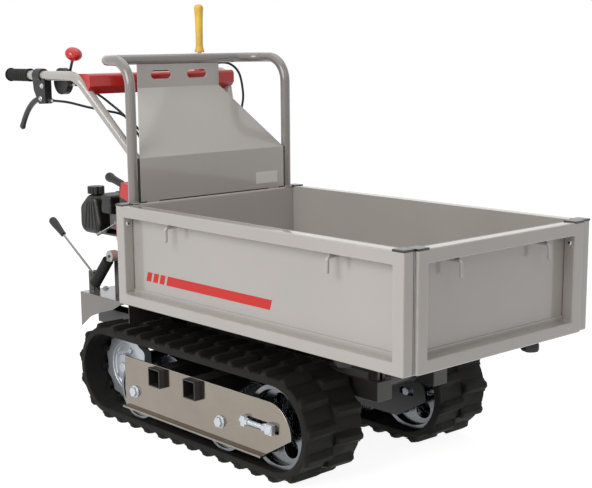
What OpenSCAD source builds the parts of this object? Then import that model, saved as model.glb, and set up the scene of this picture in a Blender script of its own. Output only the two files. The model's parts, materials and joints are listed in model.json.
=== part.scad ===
// Tracked power carrier with a tipping bed whose three drop sides pull out.
// X runs forward, Y to the machine's left and Z up, and the tracks stand on Z = 0.
// Inside the modules x is measured from the rear end of the side panels.

/* [Bed] */
// Outer width over the two side panels
bed_w = 650; // [600:10:760]
// Length of a side panel
bed_len = 1056; // [1000:1:1200]
// Height of the drop-side panels
panel_h = 270; // [200:5:320]
// Thickness of the panel frames
panel_t = 34; // [30:1:40]
// Width of the end posts of a panel
post_w = 34; // [28:1:44]
// Height of the top rail of a panel
top_rail_h = 32; // [26:1:44]
// Height of the bottom rail of a panel
bottom_rail_h = 30; // [30:1:40]
// Wall of the folded frames
frame_wall = 2; // [1.5:0.5:3]
// Thickness of the sheets
sheet_t = 2; // [1.5:0.5:3]
// Height of the fold above the bottom rail
fold_h = 12; // [8:1:20]
// Ground to the underside of the panels
bed_z = 350; // [340:5:400]
// How far the front panel stands proud of the side panels
front_out = 8; // [4:1:24]
// Thickness of the rear wall
rear_wall_t = 28; // [28:1:36]
// Travel of a side panel
side_travel = 150; // [80:10:150]
// Travel of the front panel
front_travel = 130; // [80:10:150]
// Length of a sliding tube that stays held at full travel
slide_keep = 90; // [60:5:100]
// Side of the square sliding tubes
slide_w = 25; // [20:1:25]
// Wall of the sliding and guide tubes
guide_wall = 2; // [1.5:0.5:2.5]
// Clearance of a sliding tube in its guide
slide_gap = 0.5; // [0.3:0.1:0.8]
// Gap between panels that slide past each other
panel_gap = 1; // [0.5:0.5:2]
// Rear guide tube of the side panels
guide_rear_x = 170; // [120:10:220]
// Half spacing of the front panel's sliding tubes
front_guide_y = 180; // [160:5:200]
// Thickness of the black post caps
cap_t = 3; // [2:0.5:5]
// Rod diameter of the rope hooks
hook_d = 9; // [6:1:12]
// Spacing of the two hooks on a side panel
side_hook_gap = 600; // [400:10:700]
// Spacing of the two hooks on the front panel
front_hook_gap = 310; // [200:10:400]
// Height of the tipping hinge
tip_z = 295; // [290:1:300]
// Tipping hinge ahead of the side panels' rear end
tip_x = 760; // [740:5:780]
// Diameter of the hinge pins
tip_pin_d = 20; // [16:1:22]

/* [Guard] */
// Diameter of the hoop tube
hoop_d = 28; // [22:1:28]
// Height of the hoop's cross tube
hoop_z = 1000; // [900:10:1100]
// Hoop leg's centreline inside the end of the rear wall
hoop_inset = 15; // [14:1:40]
// How far the cross tube sits behind the legs
hoop_back = 156; // [145:1:200]
// Centreline radius of the hoop's bends
hoop_bend = 70; // [50:5:72]
// Thickness of the guard sheet
guard_t = 3; // [2:0.5:4]
// Height of the guard's upright lower part
guard_low_h = 118; // [80:2:140]
// Width of the guard at its top
guard_top_w = 292; // [240:4:320]
// Height of the guard's top flange
guard_flange_h = 65; // [50:1:80]
// Gap between the rear wall and the guard
guard_gap = 3; // [2:1:16]
// Length of the flange's slots
slot_len = 70; // [50:1:80]
// Height of the flange's slots
slot_h = 24; // [16:1:30]
// Spacing of the flange's slots
slot_gap = 128; // [100:2:150]

/* [Tracks] */
// Width of a rubber track
track_w = 180; // [170:2:200]
// Spacing of the track centres
track_gauge = 460; // [440:2:480]
// Sprocket to idler
wheel_base = 715; // [650:5:760]
// Sprocket axle behind the side panels' rear end
sprocket_back = 90; // [80:5:110]
// Height of the sprocket and idler axles
axle_h = 138; // [130:1:150]
// Height of the lugs
lug_h = 12; // [8:1:20]
// Thickness of the belt
belt_t = 20; // [14:1:24]
// Lugs in each row
lug_count = 33; // [28:1:38]
// Length of a lug at its root
lug_root = 34; // [24:1:40]
// Length of a lug at its crown
lug_crown = 16; // [10:1:22]
// Height of the inner guide horns
horn_h = 14; // [8:1:18]
// Gap between a wheel and the belt
wheel_gap = 0.3; // [0.2:0.1:0.6]
// Teeth on a sprocket
sprocket_teeth = 11; // [9:1:13]
// Depth of the sprocket's scallops
sprocket_wave = 5; // [3:0.5:7]
// Width of a sprocket's rim
sprocket_w = 24; // [18:1:26]
// Radius of the road rollers
roller_r = 78; // [60:1:78]
// Rear road roller ahead of the side panels' rear end
roller_rear_x = 55; // [40:1:58]
// Front road roller ahead of the side panels' rear end
roller_front_x = 427; // [415:1:440]
// Diameter of the wheel axles
axle_d = 20; // [14:1:24]
// Running clearance of the wheels on their axles
axle_gap = 0.05; // [0.03:0.01:0.1]
// Thickness of the side plates
plate_t = 5; // [3:0.5:8]
// Height of the side plates' lower edge
plate_z0 = 64; // [56:1:70]
// Height of the side plates' upper edge
plate_z1 = 203; // [200:1:214]
// Side of the square cross tubes
cross_w = 50; // [40:1:50]
// Wall of the square cross tubes
cross_wall = 3; // [2:0.5:5]
// Rear cross tube ahead of the side panels' rear end
cross_rear_x = 166; // [152:1:170]
// Front cross tube ahead of the side panels' rear end
cross_front_x = 319; // [280:1:320]
// Underside of the cross tubes
cross_z = 148; // [148:1:150]
// Diameter of the tensioner screws
tension_d = 12; // [8:1:14]

/* [Chassis] */
// Spacing of the chassis rails
rail_gap = 200; // [190:2:210]
// Width of a chassis rail
rail_w = 50; // [40:1:54]
// Height of a chassis rail
rail_h = 50; // [40:1:52]
// Width of the engine plate
plate_w = 380; // [360:4:400]
// Rear edge of the engine plate behind the side panels' rear end
plate_back = 413; // [410:1:440]
// Upper face of the engine plate
plate_z = 303; // [300:1:310]

/* [Engine] */
// Height of the crank axis
crank_z = 500; // [490:1:510]
// Crank axis behind the side panels' rear end
crank_back = 180; // [175:1:190]
// Radius of the starter cover
starter_r = 98; // [80:1:98]
// Pull of the starter handle
starter_travel = 90; // [40:5:90]
// Diameter of the fuel cap
fuel_cap_d = 46; // [40:1:60]
// Diameter of the muffler
muffler_d = 84; // [60:1:90]
// Cooling fins on the cylinder
fin_count = 8; // [5:1:9]

/* [Handlebar] */
// Height of the hand grips
grip_z = 955; // [900:5:1000]
// Spacing of the hand grips
grip_gap = 536; // [480:4:560]
// Rear end of the grips behind the side panels' rear end
grip_reach = 636; // [590:1:700]
// Length of a hand grip
grip_len = 125; // [100:1:140]
// Diameter of a hand grip
grip_d = 36; // [32:1:40]
// Diameter of the handlebar tube
bar_d = 28; // [24:1:30]
// Wall of the handlebar tube
bar_wall = 3; // [2:0.5:4]
// Centreline radius of the handlebar's bends
bar_bend = 60; // [40:5:70]
// Thickness of a steering lever
lever_t = 8; // [6:0.5:10]
// Diameter of the throttle disc
throttle_d = 76; // [60:1:96]
// Length of the throttle lever to its knob
throttle_len = 85; // [70:1:100]
// Width of the red cross panel
panel_span = 496; // [440:2:500]
// Length of the yellow clutch grip
clutch_grip_len = 142; // [120:1:160]
// Diameter of the yellow clutch grip
clutch_grip_d = 28; // [24:1:34]
// Length of the gear lever's rod
gear_len = 198; // [150:1:220]
// Length of the gear lever's grip
gear_grip_len = 82; // [60:1:100]
// Length of the latch grip
latch_grip_len = 112; // [90:1:130]
// Diameter of the latch grip
latch_grip_d = 34; // [26:1:36]
// Diameter of the control cables
cable_d = 7; // [5:0.5:8]

/* [Hidden] */
$fn = 48;
right = -1;
left = 1;

// Colours as they look on the machine
paint = [0.72, 0.70, 0.67];
steel = [0.60, 0.57, 0.52];
zinc = [0.80, 0.82, 0.83];
dark = [0.16, 0.16, 0.17];
rubber = [0.10, 0.10, 0.10];
red = [0.78, 0.14, 0.13];
yellow = [0.94, 0.67, 0.10];

// Bed
half_w = bed_w / 2;
inner_y = half_w - panel_t;
front_x = bed_len + front_out;
front_in_x = front_x - panel_t;
floor_z = bed_z + bottom_rail_h;
top_z = bed_z + panel_h;
guide_w = slide_w + 2 * (slide_gap + guide_wall);
guide_z = bed_z + bottom_rail_h / 2 - guide_w / 2;
beam_z = guide_z - guide_w;
side_slide_len = side_travel + slide_keep;
front_slide_len = front_travel + slide_keep;
slide_end_gap = 5;
guide_front_x = front_in_x - front_slide_len - slide_end_gap - guide_w / 2;
front_guide_x0 = guide_front_x + guide_w / 2 - guide_wall / 2;
beam_w = 40;
lug_r = 16;
lug_t = 8;
lug_side_gap = 1;
fit_gap = 0.2;
seam = 0.05;
clamp_shaft_d = 12;
clamp_d = 46;
clamp_lobe_d = 12;
clamp_drop = 20;
clamp_h = 22;
clamp_inset = 50;
clamp_y = inner_y - panel_gap - clamp_inset;
right_clamp_at = [guide_front_x, -clamp_y, guide_z];
left_clamp_at = [guide_front_x, clamp_y, guide_z];
front_clamp_at = [front_in_x - 30, front_guide_y, guide_z];
hook_out = 6;
origin_x = (grip_reach - front_x - hook_out) / 2;

// Hoop and guard
hoop_x = rear_wall_t / 2;
hoop_w = 2 * (inner_y - panel_gap - hoop_inset);
guard_x = hoop_x + 10;
guard_half = hoop_w / 2 - hoop_d / 2 - 4;
guard_z0 = top_z + guard_gap;
guard_z1 = guard_z0 + guard_low_h;
guard_z3 = hoop_z - hoop_d / 2;
guard_z2 = guard_z3 - guard_flange_h;
guard_back_x = hoop_x - hoop_back + 6;

// Tracks
track_in = (track_gauge - track_w) / 2;
track_out = track_in + track_w;
sprocket_x = -sprocket_back;
idler_x = sprocket_x + wheel_base;
belt_r = axle_h - lug_h;
belt_in_r = belt_r - belt_t;
cord_depth = 7;
pitch_r = belt_in_r + cord_depth;
loop_len = 2 * wheel_base + 2 * PI * pitch_r;
lug_pitch = loop_len / lug_count;
roller_z = axle_h - belt_in_r + roller_r + wheel_gap;
idler_r = belt_in_r - wheel_gap;
sprocket_y = track_in + 95;
shaft_d = 30;
plate_y = track_out - 2;
inner_plate_y = track_in + 10;
plate_x0 = roller_rear_x - 47;
plate_x1 = idler_x - 32;
nose_r = (plate_z1 - plate_z0) * 0.56;
nose_z = plate_z1 - nose_r;
nose_x = idler_x - 10;
block_w = 26;
block_y = plate_y + 0.3;
block_t = 13;
anchor_x = idler_x - 103;

// Chassis
rail_y = rail_gap / 2;
rail_z = cross_z + cross_w;
rail_top = rail_z + rail_h;
rail_x0 = -plate_back - 7;
rail_x1 = tip_x + 28;
deck_t = 5;
rest_gap = 0.3;

// Engine
crank_x = -crank_back;
base_z = crank_z - 115;
case_x0 = crank_x - 130;
case_x1 = crank_x + 70;
case_top = crank_z + 40;
head_z = crank_z + 130;
fan_y0 = -118;
fan_y1 = -85.2;
fin_half = 70;
carb_y = -102;
guard_y = 112;
guard_r = 85;
starter_y0 = -150;
tank_x0 = case_x0 - 193;
tank_x1 = case_x0 - 85;
tank_z0 = crank_z - 30;
tank_z1 = crank_z + 90;
cap_x = tank_x0 + 53;
cap_y = -96;
pull_tilt = 14;
pull_at = [crank_x - 84, (starter_y0 + fan_y0) / 2, crank_z + 143];
rope_start = 30;
choke_at = [case_x0 - 20, carb_y - 6, crank_z + 12];

// Handlebar and levers
bar_y = grip_gap / 2;
elbow_ahead = 378;
bar_elbow = [elbow_ahead - grip_reach, bar_y, grip_z];
bar_knee = [-48, 148, grip_z - 315];
bar_foot = [-48, 148, plate_z + 6];
bar_path = [[-grip_reach + 5, bar_y, grip_z], bar_elbow, bar_knee, bar_foot];
grip_bore_gap = 0.1;
lever_pivot = [bar_elbow.x - 182, bar_y, grip_z - 67];
bracket_w = 24;
pivot_d = 8;
throttle_at = [bar_elbow.x - 114, bar_y - bar_d / 2 - 2, grip_z - 16];
throttle_t = 20;
throttle_low = [throttle_at.x, -throttle_at.y, throttle_at.z];
throttle_tilt = 65;
channel_x0 = bar_elbow.x - 4;
channel_x1 = bar_elbow.x + 53;
channel_z0 = grip_z - 50;
channel_z1 = grip_z + 7;
channel_t = 3;
clutch_at = [bar_elbow.x + 23, 152, channel_z1 + 18];
gear_at = [-395, -150, plate_z + 49];
gear_tilt = 32;
gear_rod_d = 7;
latch_at = [-255, -180, plate_z + 127];
latch_tilt = 47;
latch_post = latch_grip_d / 2 + 1;
latch_grip_at = 19;

// Routes of the control cables, from lever to engine plate
steer_route = [
    lever_pivot + [42, 0, -5], lever_pivot + [58, 0, -5], bar_elbow + [-62, -8, -75],
    bar_elbow + [-8, -38, -88], bar_elbow + [27, -78, -99], bar_elbow + [61, -118, -116],
    [-150, 118, 780], [-110, 95, 690], [-86, 80, 560], [-74, 72, 420], [-70, 70, 304]
];
throttle_route = [
    throttle_low + [50, 12, -9], throttle_low + [64, 14, -10], throttle_low + [90, 37, -21],
    throttle_low + [132, 49, -41], throttle_low + [174, 52, -60], [-150, -180, 840], [-120, -150, 775],
    [-150, -105, 705], [-200, -40, 686], [-212, -2, 672], [-212, 0, 651]
];
clutch_route = [
    clutch_at + [11, 18, -10], clutch_at + [35, 46, 4], clutch_at + [70, 62, 0],
    [-127, 216, 954], [-107, 213, 904], [-99, 204, 863], [-92, 170, 780], [-82, 120, 640], [-75, 100, 480], [-70, 96, 304]
];
route_steps = 4;
cable_sides = 8;

// Vector of length one along v
function unit(v) = v / norm(v);

// Point on the track loop at arc length s from the bottom of the sprocket, r from the axles
function loop_point(s, r) =
    let (a = PI * pitch_r)
    s < wheel_base ? [sprocket_x + s, axle_h - r]
    : s < wheel_base + a ? loop_turn(idler_x, r, s - wheel_base)
    : s < 2 * wheel_base + a ? [idler_x - (s - wheel_base - a), axle_h + r]
    : loop_turn(sprocket_x, -r, s - 2 * wheel_base - a);

// Point on a round end of the loop, s past its start
function loop_turn(x, r, s) =
    let (t = s / pitch_r * 180 / PI)
    [x + r * sin(t), axle_h - r * cos(t)];

// Outline with a trapezoid at every pitch, between radius r0 and crown radius r1
function toothed_loop(r0, r1, root, crown, phase) = [
    for (k = [0 : lug_count - 1])
        let (s = (k + phase + 0.5) * lug_pitch)
        for (c = [[-root, r0], [-crown, r1], [crown, r1], [root, r0]])
            loop_point((s + c[0] / 2) % loop_len, c[1])
];

// Points of an arc
function arc(c, r, a0, a1, n) = [
    for (i = [0 : n])
        let (a = a0 + (a1 - a0) * i / n)
        [c[0] + r * cos(a), c[1] + r * sin(a)]
];

// Smooth curve through the points of a route
function route_curve(p) =
    let (n = len(p))
    concat(
        [for (i = [0 : n - 2]) for (j = [0 : route_steps - 1])
            spline(p[max(i - 1, 0)], p[i], p[i + 1], p[min(i + 2, n - 1)], j / route_steps)],
        [p[n - 1]]
    );

// Catmull-Rom point between b and c
function spline(a, b, c, d, t) =
    0.5 * (2 * b + (c - a) * t + (2 * a - 5 * b + 4 * c - d) * t * t
        + (3 * b - a - 3 * c + d) * t * t * t);

// Ring of points round p, square to the direction v
function ring(p, v, d) =
    let (u = unit(v), s = unit(cross(u, [0.31, 0.95, 0.05])), w = cross(s, u))
    [for (k = [0 : cable_sides - 1])
        p + d / 2 * (cos(360 * k / cable_sides) * s + sin(360 * k / cable_sides) * w)];

// Left-side shape, or its mirror image on the right
module on_side(side) {
    mirror([0, side == left ? 0 : 1, 0]) children();
}

// Slab of a profile in the x-z plane, from y0 over w
module slab(y0, w) {
    translate([0, y0 + w, 0]) rotate([90, 0, 0]) linear_extrude(w) children();
}

// Round bar with its axis along y
module y_bar(x, z, y0, y1, d) {
    translate([x, y1, z]) rotate([90, 0, 0]) cylinder(d = d, h = y1 - y0);
}

// Round bar between two points
module rod(a, b, d) {
    v = b - a;
    turn = [0, acos(v.z / norm(v)), atan2(v.y, v.x)];
    translate(a) rotate(turn) cylinder(d = d, h = norm(v));
}

// Length that a bend takes from the runs beside its corner
function setback(a, b, c, bend) = bend * tan(acos(unit(b - a) * unit(c - b)) / 2);

// Round bar along corner points, bent to one centreline radius; its runs end inside the bends
module bent_rod(p, bend, d) {
    n = len(p);
    for (i = [0 : n - 2]) {
        u = unit(p[i + 1] - p[i]);
        start = i == 0 ? 0 : setback(p[i - 1], p[i], p[i + 1], bend) - 1;
        stop = i == n - 2 ? 0 : setback(p[i], p[i + 1], p[i + 2], bend) - 1;
        rod(p[i] + u * start, p[i + 1] - u * stop, d - 2 * seam);
    }
    for (i = [1 : n - 2]) elbow(p[i - 1], p[i], p[i + 1], bend, d);
}

// Bend of a bar at corner b, coming from a and going to c
module elbow(a, b, c, bend, d) {
    u = unit(b - a);
    v = unit(c - b);
    turn = acos(u * v);
    n = unit(v - (u * v) * u);
    e3 = cross(-n, u);
    o = b - u * setback(a, b, c, bend) + n * bend;
    frame = [[-n.x, u.x, e3.x, o.x], [-n.y, u.y, e3.y, o.y], [-n.z, u.z, e3.z, o.z], [0, 0, 0, 1]];
    multmatrix(frame) rotate_extrude(angle = turn) translate([bend, 0]) circle(d = d);
}

// Tube along corner points, open at both ends
module bent_tube(p, bend, d, bore) {
    n = len(p);
    head = p[0] + unit(p[0] - p[1]);
    tail = p[n - 1] + unit(p[n - 1] - p[n - 2]);
    difference() {
        bent_rod(p, bend, d);
        bent_rod(concat([head], [for (i = [1 : n - 2]) p[i]], [tail]), bend, bore);
    }
}

// Square tube along x, open at both ends
module square_tube(len, w, wall) {
    difference() {
        cube([len, w, w]);
        translate([-1, wall, wall]) cube([len + 2, w - 2 * wall, w - 2 * wall]);
    }
}

// Box with rounded upright edges
module soft_box(size, r) {
    linear_extrude(size.z) {
        translate([r, 0]) square([size.x - 2 * r, size.y]);
        translate([0, r]) square([size.x, size.y - 2 * r]);
        for (x = [r, size.x - r], y = [r, size.y - r]) translate([x, y]) circle(r);
    }
}

// Filled track-loop shape of radius r, through the whole track
module loop_core(y0, w, r) {
    for (x = [sprocket_x, idler_x]) y_bar(x, axle_h, y0, y0 + w, 2 * r);
    translate([sprocket_x, y0, axle_h - r]) cube([wheel_base, w, 2 * r]);
}

// Rubber track with two staggered rows of lugs and two rows of guide horns
module track(side) {
    rows = [[track_in, 0], [track_in + track_w / 2, 0.5]];
    horn_ys = [sprocket_y - sprocket_w / 2 - 13, sprocket_y + sprocket_w / 2 + 3];
    horn_w = 10;
    horn_root = lug_root * 0.8;
    color(rubber) on_side(side) {
        difference() {
            for (row = rows)
                slab(row[0], track_w / 2)
                    polygon(toothed_loop(belt_r, axle_h, lug_root, lug_crown, row[1]));
            loop_core(track_in - 1, track_w + 2, belt_in_r);
        }
        for (y = horn_ys) difference() {
            loop_core(y, horn_w, belt_in_r + 3);
            slab(y - 1, horn_w + 2)
                polygon(toothed_loop(belt_in_r + 1, belt_in_r - horn_h, horn_root, lug_crown, 0));
        }
    }
}

// Toothed drive sprocket on its shaft
module sprocket(side) {
    tip_r = belt_in_r - 2;
    points = 8 * sprocket_teeth;
    color(zinc) on_side(side) translate([sprocket_x, sprocket_y, axle_h]) rotate([90, 0, 0]) {
        difference() {
            linear_extrude(sprocket_w, center = true)
                polygon([for (i = [0 : points - 1])
                    let (a = 360 * i / points, r = tip_r - sprocket_wave * (1 - cos(a * sprocket_teeth)))
                    [r * cos(a), r * sin(a)]]);
            for (m = [0, 1]) mirror([0, 0, m])
                translate([0, 0, sprocket_w / 6]) cylinder(r1 = 66, r2 = 76, h = sprocket_w);
        }
        cylinder(d = 76, h = sprocket_w + 16, center = true);
        translate([0, 0, -28]) cylinder(d = shaft_d, h = sprocket_y - 40);
        for (k = [0 : 4]) rotate(72 * k) translate([52, 0, -sprocket_w / 6 - 8])
            cylinder(d = 16, h = 9, $fn = 6);
    }
}

// Spoked idler with an outer and an inner rim
module idler(side) {
    rim_w = 36;
    rim_ys = [track_in + 25, track_out - 54];
    color(zinc) on_side(side) difference() {
        union() {
            for (y = rim_ys) {
                difference() {
                    y_bar(idler_x, axle_h, y, y + rim_w, 2 * idler_r);
                    y_bar(idler_x, axle_h, y - 1, y + rim_w + 1, 2 * idler_r - 24);
                }
                difference() {
                    y_bar(idler_x, axle_h, y + 14, y + 22, 2 * idler_r - 22);
                    for (k = [0 : 4])
                        translate([58 * cos(72 * k + 18), 0, 58 * sin(72 * k + 18)])
                            y_bar(idler_x, axle_h, y, y + rim_w, 50);
                }
            }
            y_bar(idler_x, axle_h, track_in + 20, track_out - 14, 56);
        }
        y_bar(idler_x, axle_h, track_in, track_out, axle_d + 2 * axle_gap);
    }
}

// Road roller of two dished discs on one hub
module roller(side, x) {
    disc_ys = [track_in + 44, track_out - 24];
    color(zinc) on_side(side) difference() {
        union() {
            for (y = disc_ys) difference() {
                y_bar(x, roller_z, y, y + 14, 2 * roller_r);
                y_bar(x, roller_z, y + 8, y + 15, 2 * roller_r - 16);
                y_bar(x, roller_z, y - 1, y + 4, 2 * roller_r - 16);
            }
            y_bar(x, roller_z, track_in + 40, track_out - 9, 52);
        }
        y_bar(x, roller_z, track_in, track_out, axle_d + 2 * axle_gap);
    }
}

// Outline of a side plate
module plate_outline() {
    polygon(concat(
        [[plate_x0, plate_z0], [plate_x1, plate_z0]],
        arc([nose_x, nose_z], nose_r, -2, 90, 14),
        [[plate_x0, plate_z1]]
    ));
}

// Openings of a plate for the roller axles and the idler's slot
module axle_openings() {
    hole = axle_d + 2 * fit_gap;
    for (x = [roller_rear_x, roller_front_x]) translate([x, roller_z]) circle(d = hole);
    translate([idler_x - 24, axle_h - hole / 2]) square([48, hole]);
}

// Outer side plate with its folded lower lip
module side_plate(side) {
    lip_w = 12;
    color(steel) on_side(side) {
        slab(plate_y - plate_t, plate_t) difference() {
            plate_outline();
            axle_openings();
            for (x = [cross_rear_x, cross_front_x])
                translate([x - cross_w / 2 - fit_gap, cross_z - fit_gap]) square(cross_w + 2 * fit_gap);
            translate([anchor_x + 12, axle_h - 12]) square([idler_x - anchor_x - 30, 24]);
        }
        translate([plate_x0, plate_y - plate_t, plate_z0 - plate_t])
            cube([plate_x1 - plate_x0, lip_w + plate_t, plate_t]);
    }
}

// Inner side plates joined by the two square cross tubes
module undercarriage() {
    reach = plate_y + 17;
    color(dark) {
        for (side = [right, left]) on_side(side) difference() {
            slab(inner_plate_y, plate_t) difference() {
                plate_outline();
                axle_openings();
            }
            for (x = [cross_rear_x, cross_front_x])
                translate([x - cross_w / 2 + cross_wall, 0, cross_z + cross_wall])
                    cube([cross_w - 2 * cross_wall, reach, cross_w - 2 * cross_wall]);
        }
        for (x = [cross_rear_x, cross_front_x])
            translate([x + cross_w / 2, -reach, cross_z]) rotate([0, 0, 90])
                square_tube(2 * reach, cross_w, cross_wall);
    }
}

// Roller and idler axles with washers and hex heads
module wheel_axles() {
    color(zinc) for (side = [right, left]) on_side(side) {
        for (x = [roller_rear_x, roller_front_x]) {
            y_bar(x, roller_z, inner_plate_y - 4, plate_y + 1, axle_d);
            y_bar(x, roller_z, plate_y, plate_y + 3, axle_d + 14);
            translate([x, plate_y + 3, roller_z]) rotate([-90, 0, 0])
                cylinder(d = axle_d + 8, h = 8, $fn = 6);
        }
        y_bar(idler_x, axle_h, inner_plate_y - 4, block_y + block_t + 1, axle_d);
    }
}

// Tensioner screws, each with its anchor, its slide block and two nuts
module tensioners() {
    screw_y = block_y + block_t / 2;
    color(zinc) for (side = [right, left]) on_side(side) {
        difference() {
            for (x = [anchor_x, idler_x - block_w / 2])
                translate([x, block_y, axle_h - block_w / 2])
                    cube([x == anchor_x ? 14 : block_w, block_t, block_w]);
            y_bar(idler_x, axle_h, block_y - 1, block_y + block_t + 1, axle_d + 2 * fit_gap);
        }
        rod([anchor_x - 6, screw_y, axle_h], [idler_x - block_w / 2 + 0.5, screw_y, axle_h], tension_d);
        for (x = [anchor_x + 14, idler_x - block_w / 2 - 11])
            translate([x, screw_y, axle_h]) rotate([0, 90, 0]) cylinder(d = tension_d + 8, h = 11, $fn = 6);
    }
}

// Rails, cross channels, bed rest and hinge lugs
module chassis_frame() {
    lug_inner = lug_t / 2 + lug_side_gap;
    color(dark) {
        for (y = [-rail_y, rail_y]) {
            translate([rail_x0, y - rail_w / 2, rail_z]) cube([rail_x1 - rail_x0, rail_w, rail_h]);
            for (m = [0, 1]) translate([0, y, 0]) mirror([0, m, 0]) difference() {
                union() {
                    y_bar(tip_x, tip_z, lug_inner, lug_inner + lug_t, 2 * lug_r);
                    translate([tip_x - lug_r, lug_inner, rail_top - 1])
                        cube([2 * lug_r, lug_t, tip_z - rail_top + 1]);
                }
                y_bar(tip_x, tip_z, 0, lug_inner + lug_t + 1, tip_pin_d + 2 * axle_gap);
            }
        }
        for (x = [rail_x0 + 12, -80])
            translate([x, -rail_y - rail_w / 2, rail_top])
                cube([40, rail_gap + rail_w, plate_z - deck_t - rail_top]);
        translate([40, -rail_y - rail_w / 2, rail_top])
            cube([40, rail_gap + rail_w, beam_z - rest_gap - rail_top]);
        y_bar(tip_x - 50, rail_z + rail_h / 2, -rail_y, rail_y, rail_h - 4);
    }
}

// Pins of the tipping hinge
module tip_pins() {
    reach = lug_side_gap + 1.5 * lug_t + 3;
    color(zinc) for (y = [-rail_y, rail_y]) {
        y_bar(tip_x, tip_z, y - reach, y + reach, tip_pin_d);
        y_bar(tip_x, tip_z, y + reach - 3, y + reach + 3, tip_pin_d + 8);
        y_bar(tip_x, tip_z, y - reach - 3, y - reach + 3, tip_pin_d + 8);
    }
}

// Gearbox between the rails, with an axle tube to each sprocket
module gearbox() {
    half = rail_y - rail_w / 2;
    tube_end = sprocket_y - sprocket_w / 2 - 18;
    color(dark) difference() {
        union() {
            translate([sprocket_x - 95, -58, axle_h - 66]) soft_box([190, 116, 100], 24);
            translate([sprocket_x - 70, -half, rail_z + 4]) cube([140, 2 * half, rail_h - 8]);
            translate([sprocket_x - 60, -50, axle_h]) cube([120, 100, rail_z + 6 - axle_h]);
            y_bar(sprocket_x, axle_h, -tube_end, tube_end, 64);
            for (y = [-tube_end, tube_end - 12]) y_bar(sprocket_x, axle_h, y, y + 12, 92);
        }
        y_bar(sprocket_x, axle_h, -tube_end - 1, tube_end + 1, shaft_d + 2 * axle_gap);
    }
}

// Engine plate with folded skirts, pedestals, gear gate and latch post
module engine_plate() {
    x0 = -plate_back;
    half = plate_w / 2;
    skirt = [[x0, plate_z], [x0, plate_z - 107], [x0 + 53, plate_z - 70], [x0 + 113, plate_z - 48],
        [x0 + 173, plate_z - 31], [x0 + 223, plate_z - deck_t], [x0 + 223, plate_z]];
    color(paint) {
        translate([x0, -half, plate_z - deck_t]) cube([plate_back - 22, plate_w, deck_t]);
        for (y = [-half, half - 3]) slab(y, 3) polygon(skirt);
        translate([x0, -half, rail_top + 1]) cube([3, plate_w, plate_z - rail_top - 2]);
        for (x = [case_x0 + 10, case_x1 - 50])
            translate([x, -70, plate_z - 1]) cube([40, 150, base_z - plate_z + 1]);
        for (y = [-lever_t / 2 - 7, lever_t / 2 + 2]) difference() {
            translate([gear_at.x - 14, gear_at.y + y, plate_z - 1]) cube([28, 5, gear_at.z - plate_z + 13]);
            y_bar(gear_at.x, gear_at.z, gear_at.y + y - 1, gear_at.y + y + 6, pivot_d);
        }
        y_bar(gear_at.x, gear_at.z, gear_at.y - lever_t / 2 - 8, gear_at.y + lever_t / 2 + 8, pivot_d);
        translate([latch_at.x - 10, latch_at.y + latch_post, plate_z - 1])
            cube([20, 8, latch_at.z - plate_z + 14]);
        y_bar(latch_at.x, latch_at.z, latch_at.y - lever_t, latch_at.y + latch_post + 4, pivot_d);
    }
}

// Crankcase, finned cylinder, rocker cover, carburettor and tank bracket
module engine_block() {
    fin_pitch = (head_z - case_top) / fin_count;
    color(steel) {
        translate([case_x0, -85, base_z]) soft_box([case_x1 - case_x0, 180, case_top - base_z], 22);
        translate([crank_x - 45, 0, case_top - 1]) cylinder(d = 96, h = head_z - case_top + 2);
        for (k = [0 : fin_count - 1])
            translate([crank_x - 110, -fin_half, case_top + 4 + k * fin_pitch])
                soft_box([130, 2 * fin_half, 4], 16);
        translate([crank_x - 105, -60, head_z - 3]) soft_box([120, 120, 23], 18);
        y_bar(crank_x, crank_z, 90, guard_y, 44);
        translate([tank_x0 + 16, -84, tank_z0 - 6]) cube([case_x0 - tank_x0 - 15, 150, 6]);
        translate([case_x0 - 60, carb_y, crank_z - 8]) cube([85, 50, 46]);
        translate([case_x0 - 1, -60, crank_z - 30]) cube([30, 40, 30]);
    }
}

// Fan housing and cylinder cowl
module engine_shroud() {
    color(dark) {
        y_bar(crank_x, crank_z, fan_y0, fan_y1, 2 * starter_r + 4);
        translate([crank_x - 112, fan_y0, case_top + fit_gap])
            cube([134, -fin_half - fit_gap - fan_y0, head_z - case_top - 4]);
    }
}

// Turns a shape that runs along x so that it follows the starter rope
module along_pull() {
    translate(pull_at) rotate([0, pull_tilt, 0]) children();
}

// Red starter cover with its rope guide
module starter_cover() {
    guide_len = starter_travel + 32;
    rope_block_w = fan_y0 - fit_gap - starter_y0 - 1;
    rope_block_h = 46;
    color(red) difference() {
        union() {
            y_bar(crank_x, crank_z, starter_y0 + 8, fan_y0 - fit_gap, 2 * starter_r);
            y_bar(crank_x, crank_z, starter_y0, starter_y0 + 9, 2 * starter_r - 26);
            along_pull() translate([rope_start, starter_y0 - pull_at.y, 13 - rope_block_h])
                cube([guide_len - rope_start, rope_block_w, rope_block_h]);
        }
        along_pull() translate([rope_start - 1, 0, 0]) rotate([0, 90, 0]) cylinder(d = 8, h = guide_len + 2);
        for (k = [0 : 9]) rotate_about_crank(36 * k)
            y_bar(crank_x + 60, crank_z, starter_y0 - 1, starter_y0 + 14, 18);
    }
}

// Turn about the crank axis
module rotate_about_crank(a) {
    translate([crank_x, 0, crank_z]) rotate([0, a, 0]) translate([-crank_x, 0, -crank_z]) children();
}

// Turned starter handle with the hidden part of its rope
module starter_handle() {
    color(dark) along_pull() {
        rotate([0, 90, 0]) rotate_extrude()
            polygon([[0, -60], [9, -60], [14, -53], [14, -44], [11, -32], [11, 12], [6.5, 22],
                [6.5, rope_start - 0.5], [0, rope_start - 0.5]]);
        translate([rope_start - 2, 0, 0]) rotate([0, 90, 0]) cylinder(d = 5, h = starter_travel - 8);
    }
}

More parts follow.
